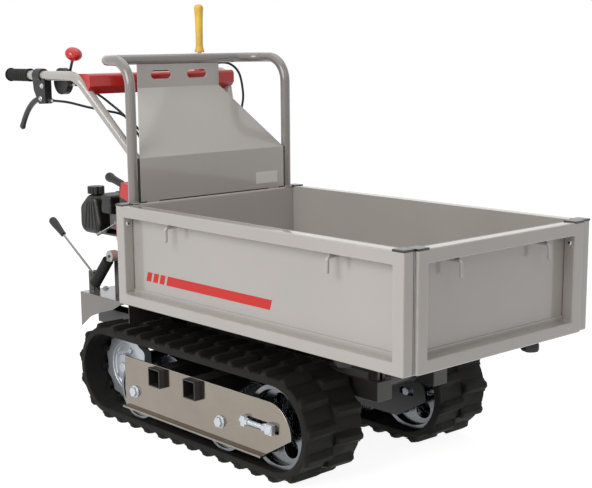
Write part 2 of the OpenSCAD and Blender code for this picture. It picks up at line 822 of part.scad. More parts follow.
// Ribbed fuel tank with its filler neck
module fuel_tank() {
    y0 = -126;
    len = 220;
    rib_x = [tank_x0 + 36, tank_x0 + 58, tank_x0 + 80];
    color(dark) {
        difference() {
            translate([0, y0, 0]) hull() {
                for (c = [[tank_x0 + 32, tank_z0 + 31, 62], [tank_x1 - 32, tank_z0 + 31, 62],
                    [tank_x0 + 50, tank_z1 - 28, 54], [tank_x1 - 42, tank_z1 - 28, 54]])
                    y_bar(c[0], c[1], 0, len, c[2], $fn = 32);
            }
            for (x = rib_x) translate([x, y0 - 1, tank_z0 - 1]) cube([6, 4, tank_z1 - tank_z0]);
        }
        translate([cap_x, cap_y, tank_z1 - 8]) cylinder(d = fuel_cap_d - 14, h = 18);
    }
}

// Fuel cap that turns on the filler neck
module fuel_cap() {
    color(dark) translate([cap_x, cap_y, tank_z1 + 2]) difference() {
        union() {
            cylinder(d = fuel_cap_d, h = 22);
            for (k = [0 : 11]) rotate(30 * k) translate([fuel_cap_d / 2, 0, 0]) cylinder(d = 6, h = 22);
        }
        translate([0, 0, -1]) cylinder(d = fuel_cap_d - 14 + 0.6, h = 9.3);
    }
}

// Air filter box on the carburettor
module air_filter() {
    color(dark) translate([tank_x1 + 6, -122, crank_z + 38.2]) soft_box([52, 92, 57], 10);
}

// Choke lever beside the carburettor
module choke_lever() {
    color(zinc) {
        y_bar(choke_at.x, choke_at.z, choke_at.y - 1, carb_y - rest_gap, 14);
        rod(choke_at + [0, 1, 0], choke_at + [-40, -30, -30], 5);
        rod(choke_at + [-36, -27, -27], choke_at + [-48, -36, -36], 10);
    }
}

// Muffler with its tail pipe and flange
module muffler() {
    mz = crank_z + guard_r + 4 + muffler_d / 2;
    my = fin_half + muffler_d / 2 + 12;
    color(steel) {
        translate([crank_x - 120, my, mz]) rotate([0, 90, 0]) cylinder(d = muffler_d, h = 150);
        translate([crank_x - 128, my, mz]) rotate([0, 90, 0]) cylinder(d = muffler_d - 14, h = 166);
        translate([crank_x - 155, my + 14, mz]) rotate([0, 90, 0]) cylinder(d = 20, h = 40);
        translate([crank_x - 75, fin_half + fit_gap, mz - 16]) cube([50, my - 80, 32]);
    }
}

// Belt guard over the drive side
module belt_guard() {
    y0 = guard_y;
    color(dark) difference() {
        union() {
            y_bar(crank_x, crank_z, y0, y0 + 40, 2 * guard_r);
            slab(y0, 40) polygon([[crank_x - guard_r + 1, crank_z], [crank_x - 50, plate_z],
                [crank_x + 92, plate_z], [crank_x + guard_r - 1, crank_z]]);
        }
        translate([crank_x - 200, y0 - 1, plate_z - 200]) cube([400, 42, 200]);
    }
}

// Two bent handlebar arms with their feet
module handlebar() {
    color(paint) for (side = [right, left]) on_side(side) {
        bent_tube(bar_path, bar_bend, bar_d, bar_d - 2 * bar_wall);
        translate([bar_foot.x - 24, bar_foot.y - 34, plate_z]) cube([48, 68, 6.5]);
    }
}

// Ribbed rubber grips
module hand_grips() {
    color(rubber) for (side = [right, left]) on_side(side)
        translate([-grip_reach, bar_y, grip_z]) rotate([0, 90, 0]) difference() {
            union() {
                cylinder(d = grip_d - 3, h = grip_len);
                cylinder(d = grip_d + 6, h = 7);
                for (k = [0 : 7]) translate([0, 0, 14 + 13 * k]) cylinder(d = grip_d, h = 8);
            }
            translate([0, 0, 4.7]) cylinder(d = bar_d + 2 * grip_bore_gap, h = grip_len);
        }
}

// Clamped brackets of the steering levers, each with a pivot pin and a cable adjuster
module lever_brackets() {
    px = lever_pivot.x;
    pz = lever_pivot.z;
    cheek = [[px - 44, grip_z - 8], [px + 24, grip_z - 8], [px + 24, pz - 14], [px - 14, pz - 16],
        [px - 40, pz + 24]];
    color(dark) for (side = [right, left]) on_side(side) {
        difference() {
            union() {
                slab(bar_y - bracket_w / 2, bracket_w) polygon(cheek);
                translate([px - 34, bar_y, grip_z]) rotate([0, 90, 0]) cylinder(d = bar_d + 12, h = 38);
            }
            translate([px - 100, bar_y, grip_z]) rotate([0, 90, 0])
                cylinder(d = bar_d + 2 * grip_bore_gap, h = 200);
            translate([px - 60, bar_y - lever_t / 2 - 0.5, pz - 30]) cube([72, lever_t + 1, 64]);
        }
        y_bar(px, pz, bar_y - bracket_w / 2 + 1, bar_y + bracket_w / 2 - 1, pivot_d);
        translate([px + 23, bar_y, pz - 5]) rotate([0, 90, 0]) cylinder(d = 14, h = 18);
    }
}

// Curved steering lever blade that hangs behind its pivot
module steer_lever(side) {
    reach = [-134, -92];
    bulge = [-84, 4];
    steps = 12;
    half = 7.5;
    function mid(t) = 2 * t * (1 - t) * bulge + t * t * reach;
    function normal(t) =
        let (d = 2 * (1 - 2 * t) * bulge + 2 * t * reach)
        [-d.y, d.x] / norm(d);
    upper = [for (i = [0 : steps]) mid(i / steps) + half * normal(i / steps)];
    lower = [for (i = [steps : -1 : 0]) mid(i / steps) - half * normal(i / steps)];
    color(dark) on_side(side) translate([lever_pivot.x, 0, lever_pivot.z]) difference() {
        union() {
            slab(bar_y - lever_t / 2, lever_t) polygon(concat(upper, lower));
            y_bar(0, 0, bar_y - lever_t / 2, bar_y + lever_t / 2, 18);
            y_bar(reach.x, reach.y, bar_y - lever_t / 2, bar_y + lever_t / 2, 2 * half + 2);
        }
        y_bar(0, 0, bar_y - lever_t, bar_y + lever_t, pivot_d + 2 * axle_gap);
    }
}

// Throttle disc clamped to the inside of the right arm
module throttle_base() {
    y1 = -throttle_at.y + throttle_t;
    color(dark) difference() {
        union() {
            y_bar(throttle_at.x, throttle_at.z, -throttle_at.y, y1, throttle_d);
            translate([throttle_at.x - 14, -bar_y, grip_z - 9]) cube([28, bar_y - throttle_at.y + 1, 18]);
            translate(throttle_route[0] - [18.5, 0, 0]) rotate([0, 90, 0]) cylinder(d = cable_d + 4, h = 18);
            y_bar(throttle_at.x, throttle_at.z, y1 - 1, y1 + 13, pivot_d);
        }
        translate([throttle_at.x - 60, -bar_y, grip_z]) rotate([0, 90, 0])
            cylinder(d = bar_d + 2 * grip_bore_gap, h = 120);
    }
}

// Throttle lever from its hub to the knob
module throttle_lever() {
    y0 = -throttle_at.y + throttle_t + 0.3;
    dir = [cos(throttle_tilt), 0, sin(throttle_tilt)];
    hub = [throttle_at.x, y0 + 5, throttle_at.z];
    color(dark) difference() {
        union() {
            y_bar(hub.x, hub.z, y0, y0 + 10, 30);
            rod(hub + 8 * dir, hub + (throttle_len - 14) * dir, 8);
        }
        y_bar(hub.x, hub.z, y0 - 1, y0 + 20, pivot_d + 2 * axle_gap);
    }
}

// Red oval throttle knob
module throttle_knob() {
    y0 = -throttle_at.y + throttle_t + 0.3;
    dir = [cos(throttle_tilt), 0, sin(throttle_tilt)];
    hub = [throttle_at.x, y0 + 5, throttle_at.z];
    color(red) translate(hub + throttle_len * dir) rotate([0, 90 - throttle_tilt, 0]) difference() {
        rotate_extrude() polygon(concat([[0, -18]], arc([7, 0], 18, -90, 90, 14), [[0, 18]]));
        translate([0, 0, -19]) cylinder(d = 8 + 2 * grip_bore_gap, h = 5.2);
    }
}

// Red folded panel between the handlebar arms, with the clutch lever's ears
module control_panel() {
    half = panel_span / 2;
    r = 12;
    t = channel_t;
    x0 = channel_x0;
    x1 = channel_x1;
    outer = concat([[x1 - 18, channel_z0], [x1, channel_z0 + 22]],
        arc([x1 - r, channel_z1 - r], r, 0, 90, 6), [[x0, channel_z1]]);
    inner = concat([[x0, channel_z1 - t]],
        [for (p = arc([x1 - r, channel_z1 - r], r - t, 90, 0, 6)) p],
        [[x1 - t, channel_z0 + 23], [x1 - 21, channel_z0 + 1]]);
    color(red) {
        difference() {
            union() {
                slab(-half, 2 * half) polygon(concat(outer, inner));
                for (m = [0, 1]) mirror([0, m, 0])
                    slab(half - 4, 4) polygon(concat(outer, [[x0, channel_z0 + 30]]));
            }
            for (side = [right, left]) on_side(side) bent_rod(bar_path, bar_bend, bar_d + 2 * rest_gap);
        }
        for (y = [-lever_t / 2 - 7, lever_t / 2 + 2]) difference() {
            translate([clutch_at.x - 13, clutch_at.y + y, channel_z1 - 1])
                cube([26, 5, clutch_at.z - channel_z1 + 13]);
            y_bar(clutch_at.x, clutch_at.z, clutch_at.y + y - 1, clutch_at.y + y + 6, pivot_d);
        }
        translate([0, clutch_at.y, 0])
            y_bar(clutch_at.x, clutch_at.z, -lever_t / 2 - 8, lever_t / 2 + 8, pivot_d);
    }
}

// Clutch lever bar on its pivot
module clutch_lever() {
    color(zinc) translate(clutch_at) difference() {
        union() {
            translate([-9, -lever_t / 2, 0]) cube([18, lever_t, 32]);
            y_bar(0, 0, -lever_t / 2, lever_t / 2, 18);
            translate([0, 0, 31]) cylinder(d = 12, h = clutch_grip_len - 10);
        }
        y_bar(0, 0, -lever_t, lever_t, pivot_d + 2 * axle_gap);
    }
}

// Yellow clutch grip
module clutch_grip() {
    d = clutch_grip_d;
    color(yellow) translate(clutch_at + [0, 0, 36]) rotate_extrude() polygon(concat(
        [[6 + grip_bore_gap, 0], [d / 2 + 1, 0], [d / 2 + 1, 5], [d / 2 - 3, 14]],
        [[d / 2 - 2, clutch_grip_len - 40]],
        arc([d / 2 - 11, clutch_grip_len - 11], 11, 0, 90, 8),
        [[0, clutch_grip_len], [0, clutch_grip_len - 13], [6 + grip_bore_gap, clutch_grip_len - 13]]
    ));
}

// Places a rod along z so that it leans back from a pivot
module leaning(at, tilt) {
    translate(at) rotate([0, tilt - 90, 0]) children();
}

// Gear lever rod on its hub
module gear_lever() {
    color(zinc) difference() {
        union() {
            y_bar(gear_at.x, gear_at.z, gear_at.y - lever_t / 2, gear_at.y + lever_t / 2, 22);
            leaning(gear_at, gear_tilt) translate([0, 0, 8])
                cylinder(d = gear_rod_d, h = gear_len + gear_grip_len - 30);
        }
        y_bar(gear_at.x, gear_at.z, gear_at.y - lever_t, gear_at.y + lever_t, pivot_d + 2 * axle_gap);
    }
}

// Tapered black grip of the gear lever
module gear_grip() {
    color(dark) leaning(gear_at, gear_tilt) translate([0, 0, gear_len]) rotate_extrude() polygon(concat(
        [[gear_rod_d / 2 + grip_bore_gap, 0], [9, 0], [9.5, 12], [13, gear_grip_len - 26]],
        arc([0, gear_grip_len - 13], 13, 0, 90, 8),
        [[0, gear_grip_len - 18], [gear_rod_d / 2 + grip_bore_gap, gear_grip_len - 18]]
    ));
}

// Latch lever arm on its post
module latch_lever() {
    color(zinc) difference() {
        union() {
            y_bar(latch_at.x, latch_at.z, latch_at.y - lever_t / 2, latch_at.y + latch_post - 0.5, 34);
            leaning(latch_at, -latch_tilt) translate([0, 0, 12]) cylinder(d = 12, h = latch_grip_len - 5);
        }
        y_bar(latch_at.x, latch_at.z, latch_at.y - lever_t, latch_at.y + latch_post, pivot_d + 2 * axle_gap);
    }
}

// Thick black grip of the latch lever
module latch_grip() {
    color(rubber) leaning(latch_at, -latch_tilt) translate([0, 0, latch_grip_at]) difference() {
        cylinder(d = latch_grip_d, h = latch_grip_len);
        translate([0, 0, -1]) cylinder(d = 12 + 2 * grip_bore_gap, h = latch_grip_len - 6);
    }
}

// Tube along a smooth route
module cable(route) {
    p = route_curve(route);
    n = len(p);
    k = cable_sides;
    points = [for (i = [0 : n - 1])
        each ring(p[i], p[min(i + 1, n - 1)] - p[max(i - 1, 0)], cable_d)];
    walls = [for (i = [0 : n - 2], j = [0 : k - 1])
        each [[i * k + j, i * k + (j + 1) % k, (i + 1) * k + (j + 1) % k],
            [i * k + j, (i + 1) * k + (j + 1) % k, (i + 1) * k + j]]];
    start = [for (j = [k - 1 : -1 : 0]) j];
    stop = [for (j = [0 : k - 1]) (n - 1) * k + j];
    polyhedron(points, concat(walls, [start, stop]));
}

// Bowden cables of the steering levers, the throttle and the clutch
module control_cables() {
    color(rubber) {
        for (side = [right, left]) cable([for (p = steer_route) [p.x, side * p.y, p.z]]);
        cable(throttle_route);
        cable(clutch_route);
    }
}

// Floor sheet of the bed
module bed_floor() {
    half = inner_y - panel_gap;
    color(paint) translate([rear_wall_t, -half, floor_z])
        cube([front_in_x - panel_gap - rear_wall_t, 2 * half, sheet_t]);
}

// Guide tubes, beams and hinge lugs under the floor
module bed_subframe() {
    half = inner_y - panel_gap;
    guide_end = front_in_x - panel_gap;
    color(paint) {
        difference() {
            union() {
                for (x = [guide_rear_x, guide_front_x])
                    translate([x + guide_w / 2, -half, guide_z]) rotate([0, 0, 90])
                        square_tube(2 * half, guide_w, guide_wall);
                for (y = [-front_guide_y, front_guide_y])
                    translate([front_guide_x0, y - guide_w / 2, guide_z])
                        square_tube(guide_end - front_guide_x0, guide_w, guide_wall);
            }
            for (at = [right_clamp_at, left_clamp_at, front_clamp_at])
                translate(at - [0, 0, 1]) cylinder(d = clamp_shaft_d + 2 * axle_gap, h = guide_wall + 1.2);
        }
        for (y = [-rail_y, rail_y]) {
            translate([30, y - beam_w / 2, beam_z]) cube([tip_x + 10, beam_w, guide_w]);
            difference() {
                union() {
                    y_bar(tip_x, tip_z, y - lug_t / 2, y + lug_t / 2, 2 * lug_r);
                    translate([tip_x - lug_r, y - lug_t / 2, tip_z])
                        cube([2 * lug_r, lug_t, beam_z + 1 - tip_z]);
                }
                y_bar(tip_x, tip_z, y - lug_t, y + lug_t, tip_pin_d + 2 * axle_gap);
            }
            for (x = [guide_rear_x, guide_front_x])
                translate([x - guide_w / 2 - 60, y - beam_w / 2, guide_z])
                    cube([50, beam_w, floor_z - guide_z]);
        }
    }
}

// Rear wall with its box-section top rail
module rear_wall() {
    half = inner_y - panel_gap;
    t = rear_wall_t;
    w = frame_wall;
    color(paint) difference() {
        union() {
            translate([0, -half, top_z - top_rail_h]) cube([t, 2 * half, top_rail_h]);
            translate([t - sheet_t, -half, guide_z]) cube([sheet_t, 2 * half, panel_h - 4]);
            translate([0, -half, guide_z]) cube([t, 2 * half, bottom_rail_h]);
        }
        for (z = [top_z - top_rail_h, guide_z])
            translate([w, -half - 1, z + w])
                cube([t - 2 * w, 2 * half + 2, (z == guide_z ? bottom_rail_h : top_rail_h) - 2 * w]);
    }
}

// Hoop of bent tube on the rear wall
module hoop() {
    y = hoop_w / 2;
    back = hoop_x - hoop_back;
    path = [[hoop_x, -y, top_z], [hoop_x, -y, hoop_z], [back, -y, hoop_z], [back, y, hoop_z],
        [hoop_x, y, hoop_z], [hoop_x, y, top_z]];
    color(paint) bent_tube(path, hoop_bend, hoop_d, hoop_d - 2 * bar_wall);
}

// Folded guard sheet inside the hoop
module guard() {
    t = [guard_t, 0];
    low = [[guard_x, guard_z0], [guard_x, guard_z1]];
    high = [[guard_back_x, guard_z2], [guard_back_x, guard_z3]];
    tab_end = hoop_w / 2 - sqrt(pow(hoop_d / 2, 2) - pow(guard_x - 5 - hoop_x, 2)) - 0.3;
    face = [[-guard_half, guard_z0], [guard_half, guard_z0], [guard_half, guard_z1],
        [guard_top_w / 2, guard_z2], [guard_top_w / 2, guard_z3], [-guard_top_w / 2, guard_z3],
        [-guard_top_w / 2, guard_z2], [-guard_half, guard_z1]];
    slot_z = guard_z2 + guard_flange_h * 0.55;
    color(paint) difference() {
        union() {
            intersection() {
                slab(-guard_half, 2 * guard_half)
                    polygon(concat(low, high, [high[1] - t, high[0] - t, low[1] - t, low[0] - t]));
                translate([guard_back_x - 10, 0, 0]) rotate([90, 0, 90]) linear_extrude(300) polygon(face);
            }
            for (m = [0, 1], z = [guard_z0 + 20, guard_z1 - 30]) mirror([0, m, 0])
                translate([guard_x - guard_t - 2, guard_half - 14, z])
                    cube([guard_t - 1, tab_end - guard_half + 14, 16]);
            for (m = [0, 1]) mirror([0, m, 0])
                translate([guard_x - guard_t, guard_half - 60, top_z]) cube([guard_t, 40, guard_gap + 1]);
        }
        for (y = [-slot_gap / 2, slot_gap / 2])
            translate([guard_back_x - 20, y, slot_z]) rotate([90, 0, 90]) {
                for (s = [-1, 1]) translate([s * (slot_len - slot_h) / 2, 0, 0]) cylinder(d = slot_h, h = 40);
                translate([-(slot_len - slot_h) / 2, -slot_h / 2, 0]) cube([slot_len - slot_h, slot_h, 40]);
            }
    }
}

// Panel of length len along x: outer face at y = 0, inner face at y = panel_t, foot at z = 0
module panel(len, hook_gap) {
    w = frame_wall;
    difference() {
        union() {
            for (x = [0, len - post_w]) translate([x, 0, 0]) cube([post_w, panel_t, panel_h]);
            cube([len, panel_t, bottom_rail_h]);
            translate([0, 0, panel_h - top_rail_h]) cube([len, panel_t, top_rail_h]);
            translate([0, panel_t - sheet_t, 0]) cube([len, sheet_t, panel_h]);
            translate([post_w, panel_t - sheet_t - 14, bottom_rail_h - 1])
                cube([len - 2 * post_w, 15, fold_h + 1]);
        }
        for (x = [w, len - post_w + w])
            translate([x, w, w]) cube([post_w - 2 * w, panel_t - 2 * w, panel_h]);
        for (rail = [[w, bottom_rail_h], [panel_h - top_rail_h + w, top_rail_h]])
            translate([w, w, rail[0]]) cube([len - 2 * w, panel_t - 2 * w, rail[1] - 2 * w]);
    }
    for (s = [-1, 1]) translate([len / 2 + s * hook_gap / 2, 0, panel_h - top_rail_h]) rope_hook();
}

// Bent rod hook under a top rail
module rope_hook() {
    knee_y = hook_d / 2 - hook_out;
    rod([0, panel_t - sheet_t + 0.5, -9], [0, knee_y, -9], hook_d);
    translate([0, knee_y, -9]) sphere(d = hook_d);
    rod([0, knee_y, -9], [0, knee_y, -48], hook_d);
    translate([0, knee_y, -48]) sphere(d = hook_d);
}

// Sliding tube under a panel, out of its inner face along +y
module slide_tube(x, z, len) {
    translate([x + slide_w / 2, panel_t - 0.5, z - slide_w / 2]) rotate([0, 0, 90])
        square_tube(len + 0.5, slide_w, guide_wall);
}

// Side panel with its two sliding tubes, outer face on the machine's right
module side_panel(side) {
    color(paint) on_side(-side) translate([0, -half_w, bed_z]) {
        panel(bed_len, side_hook_gap);
        for (x = [guide_rear_x, guide_front_x]) slide_tube(x, guide_z - bed_z + guide_w / 2, side_slide_len);
    }
}

// Front panel with its two sliding tubes
module front_panel() {
    len = 2 * (inner_y - panel_gap);
    color(paint) translate([front_x, -len / 2, bed_z]) rotate([0, 0, 90]) {
        panel(len, front_hook_gap);
        for (y = [-front_guide_y, front_guide_y])
            slide_tube(len / 2 + y, guide_z - bed_z + guide_w / 2, front_slide_len);
    }
}

// Cap plugged into the top of a post
module post_cap() {
    w = frame_wall + fit_gap;
    translate([0, 0, panel_h]) cube([post_w, panel_t, cap_t]);
    translate([w, w, panel_h - 14]) cube([post_w - 2 * w, panel_t - 2 * w, 15]);
}

// Caps of a side panel
module side_caps(side) {
    color(dark) on_side(-side) translate([0, -half_w, bed_z])
        for (x = [0, bed_len - post_w]) translate([x, 0, 0]) post_cap();
}

// Caps of the front panel
module front_caps() {
    len = 2 * (inner_y - panel_gap);
    color(dark) translate([front_x, -len / 2, bed_z]) rotate([0, 0, 90])
        for (x = [0, len - post_w]) translate([x, 0, 0]) post_cap();
}

// Clamp screw with a lobed knob, its tip through the wall of the guide tube above
module clamp_knob(at) {
    color(dark) translate(at) {
        translate([0, 0, -clamp_drop]) cylinder(d = clamp_shaft_d, h = clamp_drop + guide_wall / 2);
        translate([0, 0, -clamp_drop - clamp_h + 2]) linear_extrude(clamp_h) {
            circle(d = clamp_d - 6);
            for (k = [0 : 4]) rotate(72 * k) translate([(clamp_d - clamp_lobe_d) / 2, 0])
                circle(d = clamp_lobe_d);
        }
    }
}

// Shifts the machine so that the origin is under the middle of its length
module place() {
    translate([origin_x, 0, 0]) children();
}

place() chassis_frame();
place() undercarriage();
place() side_plate(right);  // right_side_plate
place() side_plate(left);  // left_side_plate
place() track(right);  // right_track
place() track(left);  // left_track
place() tensioners();
place() wheel_axles();
place() tip_pins();
place() gearbox();
place() engine_plate();
place() engine_block();
place() engine_shroud();
place() starter_cover();
place() fuel_tank();
place() air_filter();
place() muffler();
place() belt_guard();
place() handlebar();
place() hand_grips();
place() lever_brackets();
place() throttle_base();
place() control_panel();
place() control_cables();
place() sprocket(right);  // right_sprocket
place() sprocket(left);  // left_sprocket
place() idler(right);  // right_idler
place() idler(left);  // left_idler
place() roller(right, roller_rear_x);  // right_rear_roller
place() roller(right, roller_front_x);  // right_front_roller
place() roller(left, roller_rear_x);  // left_rear_roller
place() roller(left, roller_front_x);  // left_front_roller
place() bed_floor();
place() bed_subframe();
place() rear_wall();
place() hoop();
place() guard();
place() side_panel(right);  // right_panel
place() side_panel(left);  // left_panel
place() front_panel();
place() side_caps(right);  // right_caps
place() side_caps(left);  // left_caps
place() front_caps();
place() clamp_knob(right_clamp_at);  // right_clamp
place() clamp_knob(left_clamp_at);  // left_clamp
place() clamp_knob(front_clamp_at);  // front_clamp
place() steer_lever(right);  // right_steer_lever
place() steer_lever(left);  // left_steer_lever
place() throttle_lever();
place() throttle_knob();
place() clutch_lever();
place() clutch_grip();
place() gear_lever();
place() gear_grip();
place() latch_lever();
place() latch_grip();
place() starter_handle();
place() fuel_cap();
place() choke_lever();
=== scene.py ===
"""Looks of the tracked power carrier: finishes, dressed pieces, studio light and camera.

A sub-assembly's fields are in millimetres, with places as spot takes them. Shapes are built in metres.
"""
import json
import logging
import math
from collections.abc import Callable, Sequence
from dataclasses import dataclass, field
from enum import Enum
from functools import cache

import bmesh
import bpy
from mathutils import Matrix, Vector


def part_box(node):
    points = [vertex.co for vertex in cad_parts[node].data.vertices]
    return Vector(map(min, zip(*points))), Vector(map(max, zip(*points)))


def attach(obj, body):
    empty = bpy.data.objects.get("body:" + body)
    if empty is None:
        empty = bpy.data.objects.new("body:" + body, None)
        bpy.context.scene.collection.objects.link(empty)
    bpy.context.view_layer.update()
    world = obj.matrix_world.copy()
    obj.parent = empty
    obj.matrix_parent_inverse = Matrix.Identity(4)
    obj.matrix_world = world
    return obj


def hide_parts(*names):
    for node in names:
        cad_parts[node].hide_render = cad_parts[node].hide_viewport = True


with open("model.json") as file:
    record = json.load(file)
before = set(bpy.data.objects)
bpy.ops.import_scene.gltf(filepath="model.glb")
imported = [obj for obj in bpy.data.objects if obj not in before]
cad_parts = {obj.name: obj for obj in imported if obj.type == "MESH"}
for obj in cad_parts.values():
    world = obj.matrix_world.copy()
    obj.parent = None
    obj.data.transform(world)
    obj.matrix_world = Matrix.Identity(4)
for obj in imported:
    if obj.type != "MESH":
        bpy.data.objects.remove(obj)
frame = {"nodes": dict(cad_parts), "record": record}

LOG = logging.getLogger("carrier")
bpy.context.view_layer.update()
MM = 0.001
REAR_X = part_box("right_panel")[0].x
UP = Vector((0, 0, 1))
AHEAD = Vector((1, 0, 0))
LEFTWARD = Vector((0, 1, 0))
SHARP_ANGLE = math.radians(38)
EDGE_ANGLE = math.radians(28)
FLAT_ANGLE = math.radians(0.6)
WELD = 2e-6
SHORTEST_EDGE = 1.2  # in radii of its rounding
NARROWEST_FACE = 2.1  # in radii of the rounding beside it
BODY_OF = {node: body for body, nodes in frame["record"]["behaviour"]["bodies"].items() for node in nodes}

Colour = tuple[float, float, float, float]
Triple = tuple[float, float, float]
Profile = list[tuple[float, float]]
Ring = list[Vector]


class Side(Enum):
    """Side of the machine, with the sign of its y."""

    RIGHT = -1
    LEFT = 1

    @property
    def word(self) -> str:
        """Name of the side as the nodes spell it."""
        return self.name.lower()


def spot(x: float, y: float, z: float) -> Vector:
    """Point in the shared frame.

    Args:
        x: Millimetres ahead of the side panels' rear end.
        y: Millimetres to the machine's left.
        z: Millimetres above the ground.

    Returns:
        The point in metres.
    """
    return Vector((REAR_X + x * MM, y * MM, z * MM))


def srgb(red: int, green: int, blue: int) -> Colour:
    """Screen colour as the linear colour that shaders take.

    Args:
        red: Red from 0 to 255.
        green: Green from 0 to 255.
        blue: Blue from 0 to 255.

    Returns:
        Linear red, green, blue and an alpha of one.
    """
    parts = [value / 255 for value in (red, green, blue)]
    linear = [c / 12.92 if c <= 0.04045 else ((c + 0.055) / 1.055) ** 2.4 for c in parts]
    return (*linear, 1.0)


def tint(colour: Colour, factor: float) -> Colour:
    """Colour made lighter or darker by a factor."""
    return (*(min(1.0, c * factor) for c in colour[:3]), 1.0)


WHITE: Colour = (1.0, 1.0, 1.0, 1.0)
PAINT_DUST = srgb(176, 168, 152)
PLASTIC_DUST = srgb(120, 114, 104)
RUBBER_DUST = srgb(96, 88, 78)
# Bright metal edges: bare wear, and partly a painted highlight.
BARE_EDGE_AND_HIGHLIGHT = srgb(235, 236, 236)


def turns(steps: int) -> list[float]:
    """Angles of a full turn in even steps."""
    return [math.tau * k / steps for k in range(steps)]


def quarter_arc(radius: float, steps: int) -> Profile:
    """Points of a quarter circle, from straight out to straight up."""
    angles = [math.radians(90 * k / steps) for k in range(steps + 1)]
    return [(radius * math.cos(a), radius * math.sin(a)) for a in angles]


def leaning(degrees: float) -> Vector:
    """Direction in the x-z plane, at an angle up from straight ahead."""
    a = math.radians(degrees)
    return Vector((math.cos(a), 0, math.sin(a)))


class Graph:
    """Adds nodes to a tree and wires them by socket name."""

    def __init__(self, tree: bpy.types.NodeTree) -> None:
        """Work on a tree that exists."""
        self.tree = tree
        self.given: bpy.types.NodeOutputs | None = None

    @classmethod
    def group(cls, name: str, kind: str, inputs: dict[str, str], outputs: dict[str, str]) -> "Graph":
        """Make a node group with named sockets.

        Args:
            name: Name of the group.
            kind: Type of its tree.
            inputs: Socket kinds by name.
            outputs: Socket kinds by name.

        Returns:
            The graph, with its inputs ready in given.
        """
        tree = bpy.data.node_groups.new(name, kind)
        for way, sockets in (("INPUT", inputs), ("OUTPUT", outputs)):
            for title, form in sockets.items():
                tree.interface.new_socket(title, in_out=way, socket_type=f"NodeSocket{form}")
        graph = cls(tree)
        graph.given = graph.add("NodeGroupInput").outputs
        return graph

    def add(self, kind: str, feeds: dict | None = None, **settings: object) -> bpy.types.Node:
        """Add a node.

        Args:
            kind: Type of the node.
            feeds: Values, sockets or nodes for its inputs, by name or index.
            settings: Properties of the node.

        Returns:
            The new node.
        """
        node = self.tree.nodes.new(kind)
        for key, value in settings.items():
            setattr(node, key, value)
        for key, value in (feeds or {}).items():
            self.feed(node.inputs[key], value)
        return node

    def feed(self, socket: bpy.types.NodeSocket, value: object) -> None:
        """Link a socket or node to an input, or set the input's own value.

        Args:
            socket: The input.
            value: Socket, node or plain value that it takes.
        """
        if isinstance(value, bpy.types.Node):
            value = value.outputs[0]
        if isinstance(value, bpy.types.NodeSocket):
            self.tree.links.new(value, socket)
        else:
            socket.default_value = value

    def effect(self, group: bpy.types.NodeTree, **values: object) -> bpy.types.NodeOutputs:
        """Place a shader group with its own values and return its outputs."""
        return self.add("ShaderNodeGroup", values, node_tree=group).outputs

    def mix(self, factor: object, first: object, second: object) -> bpy.types.NodeSocket:
        """Blend two colours by a factor."""
        return self.add("ShaderNodeMix", {0: factor, 6: first, 7: second}, data_type="RGBA").outputs[2]

    def span(self, value: object, low: float, high: float,
             start: float = 0.3, stop: float = 0.7) -> bpy.types.NodeSocket:
        """Map a value from start and stop to low and high, held at both ends."""
        feeds = {"Value": value, "From Min": start, "From Max": stop, "To Min": low, "To Max": high}
        return self.add("ShaderNodeMapRange", feeds).outputs[0]

    def times(self, first: object, second: object) -> bpy.types.NodeSocket:
        """Multiply two values."""
        return self.add("ShaderNodeMath", {0: first, 1: second}, operation="MULTIPLY").outputs[0]

    def bump(self, height: object, strength: float, distance: float) -> bpy.types.NodeSocket:
        """Normal of a surface with that height."""
        feeds = {"Strength": strength, "Distance": distance, "Height": height}
        return self.add("ShaderNodeBump", feeds).outputs["Normal"]

    def noise(self, scale: object, detail: float = 2.0, place: object | None = None) -> bpy.types.NodeSocket:
        """Noise over Object coordinates, or over the place that is given."""
        place = place or self.add("ShaderNodeTexCoord").outputs["Object"]
        return self.add("ShaderNodeTexNoise", {"Vector": place, "Scale": scale, "Detail": detail}).outputs[0]

    def close(self, **results: object) -> bpy.types.NodeTree:
        """Feed the group's outputs and return its tree."""
        self.add("NodeGroupOutput", results)
        return self.tree

    def deliver(self, geometry: object) -> bpy.types.NodeTree:
        """End a geometry tree in real meshes with their finish.

        Args:
            geometry: Socket or node of the geometry.

        Returns:
            The finished tree.
        """
        real = self.add("GeometryNodeRealizeInstances", {"Geometry": geometry})
        done = self.add("GeometryNodeSetMaterial", {"Geometry": real, "Material": self.given["Finish"]})
        return self.close(Result=done)


@cache
def grain_effect() -> bpy.types.NodeTree:
    """Build the group for a tone that wanders over a surface and the height of its fine grain.

    Returns:
        The group's tree.
    """
    graph = Graph.group("surface_grain", "ShaderNodeTree", {"Size": "Float", "Fine": "Float"},
                        {"Tone": "Float", "Height": "Float"})
    return graph.close(Tone=graph.noise(graph.given["Size"], 4.0), Height=graph.noise(graph.given["Fine"]))


def mask_group(name: str) -> Graph:
    """Start a shader group that puts out a mask of an amount, broken up at a size."""
    return Graph.group(name, "ShaderNodeTree", {"Amount": "Float", "Size": "Float"}, {"Mask": "Float"})


@cache
def wear_effect() -> bpy.types.NodeTree:
    """Build the group for a broken mask along the edges that a shape has rounded.

    Returns:
        The group's tree.
    """
    graph = mask_group("edge_wear")
    # Edges that a shape has rounded take wear and a painted highlight.
    edge = graph.add("ShaderNodeAttribute", attribute_name="edge").outputs["Fac"]
    patch = graph.span(graph.noise(graph.given["Size"], 4.0), 0.15, 1.0, 0.38, 0.62)
    return graph.close(Mask=graph.times(graph.times(edge, patch), graph.given["Amount"]))


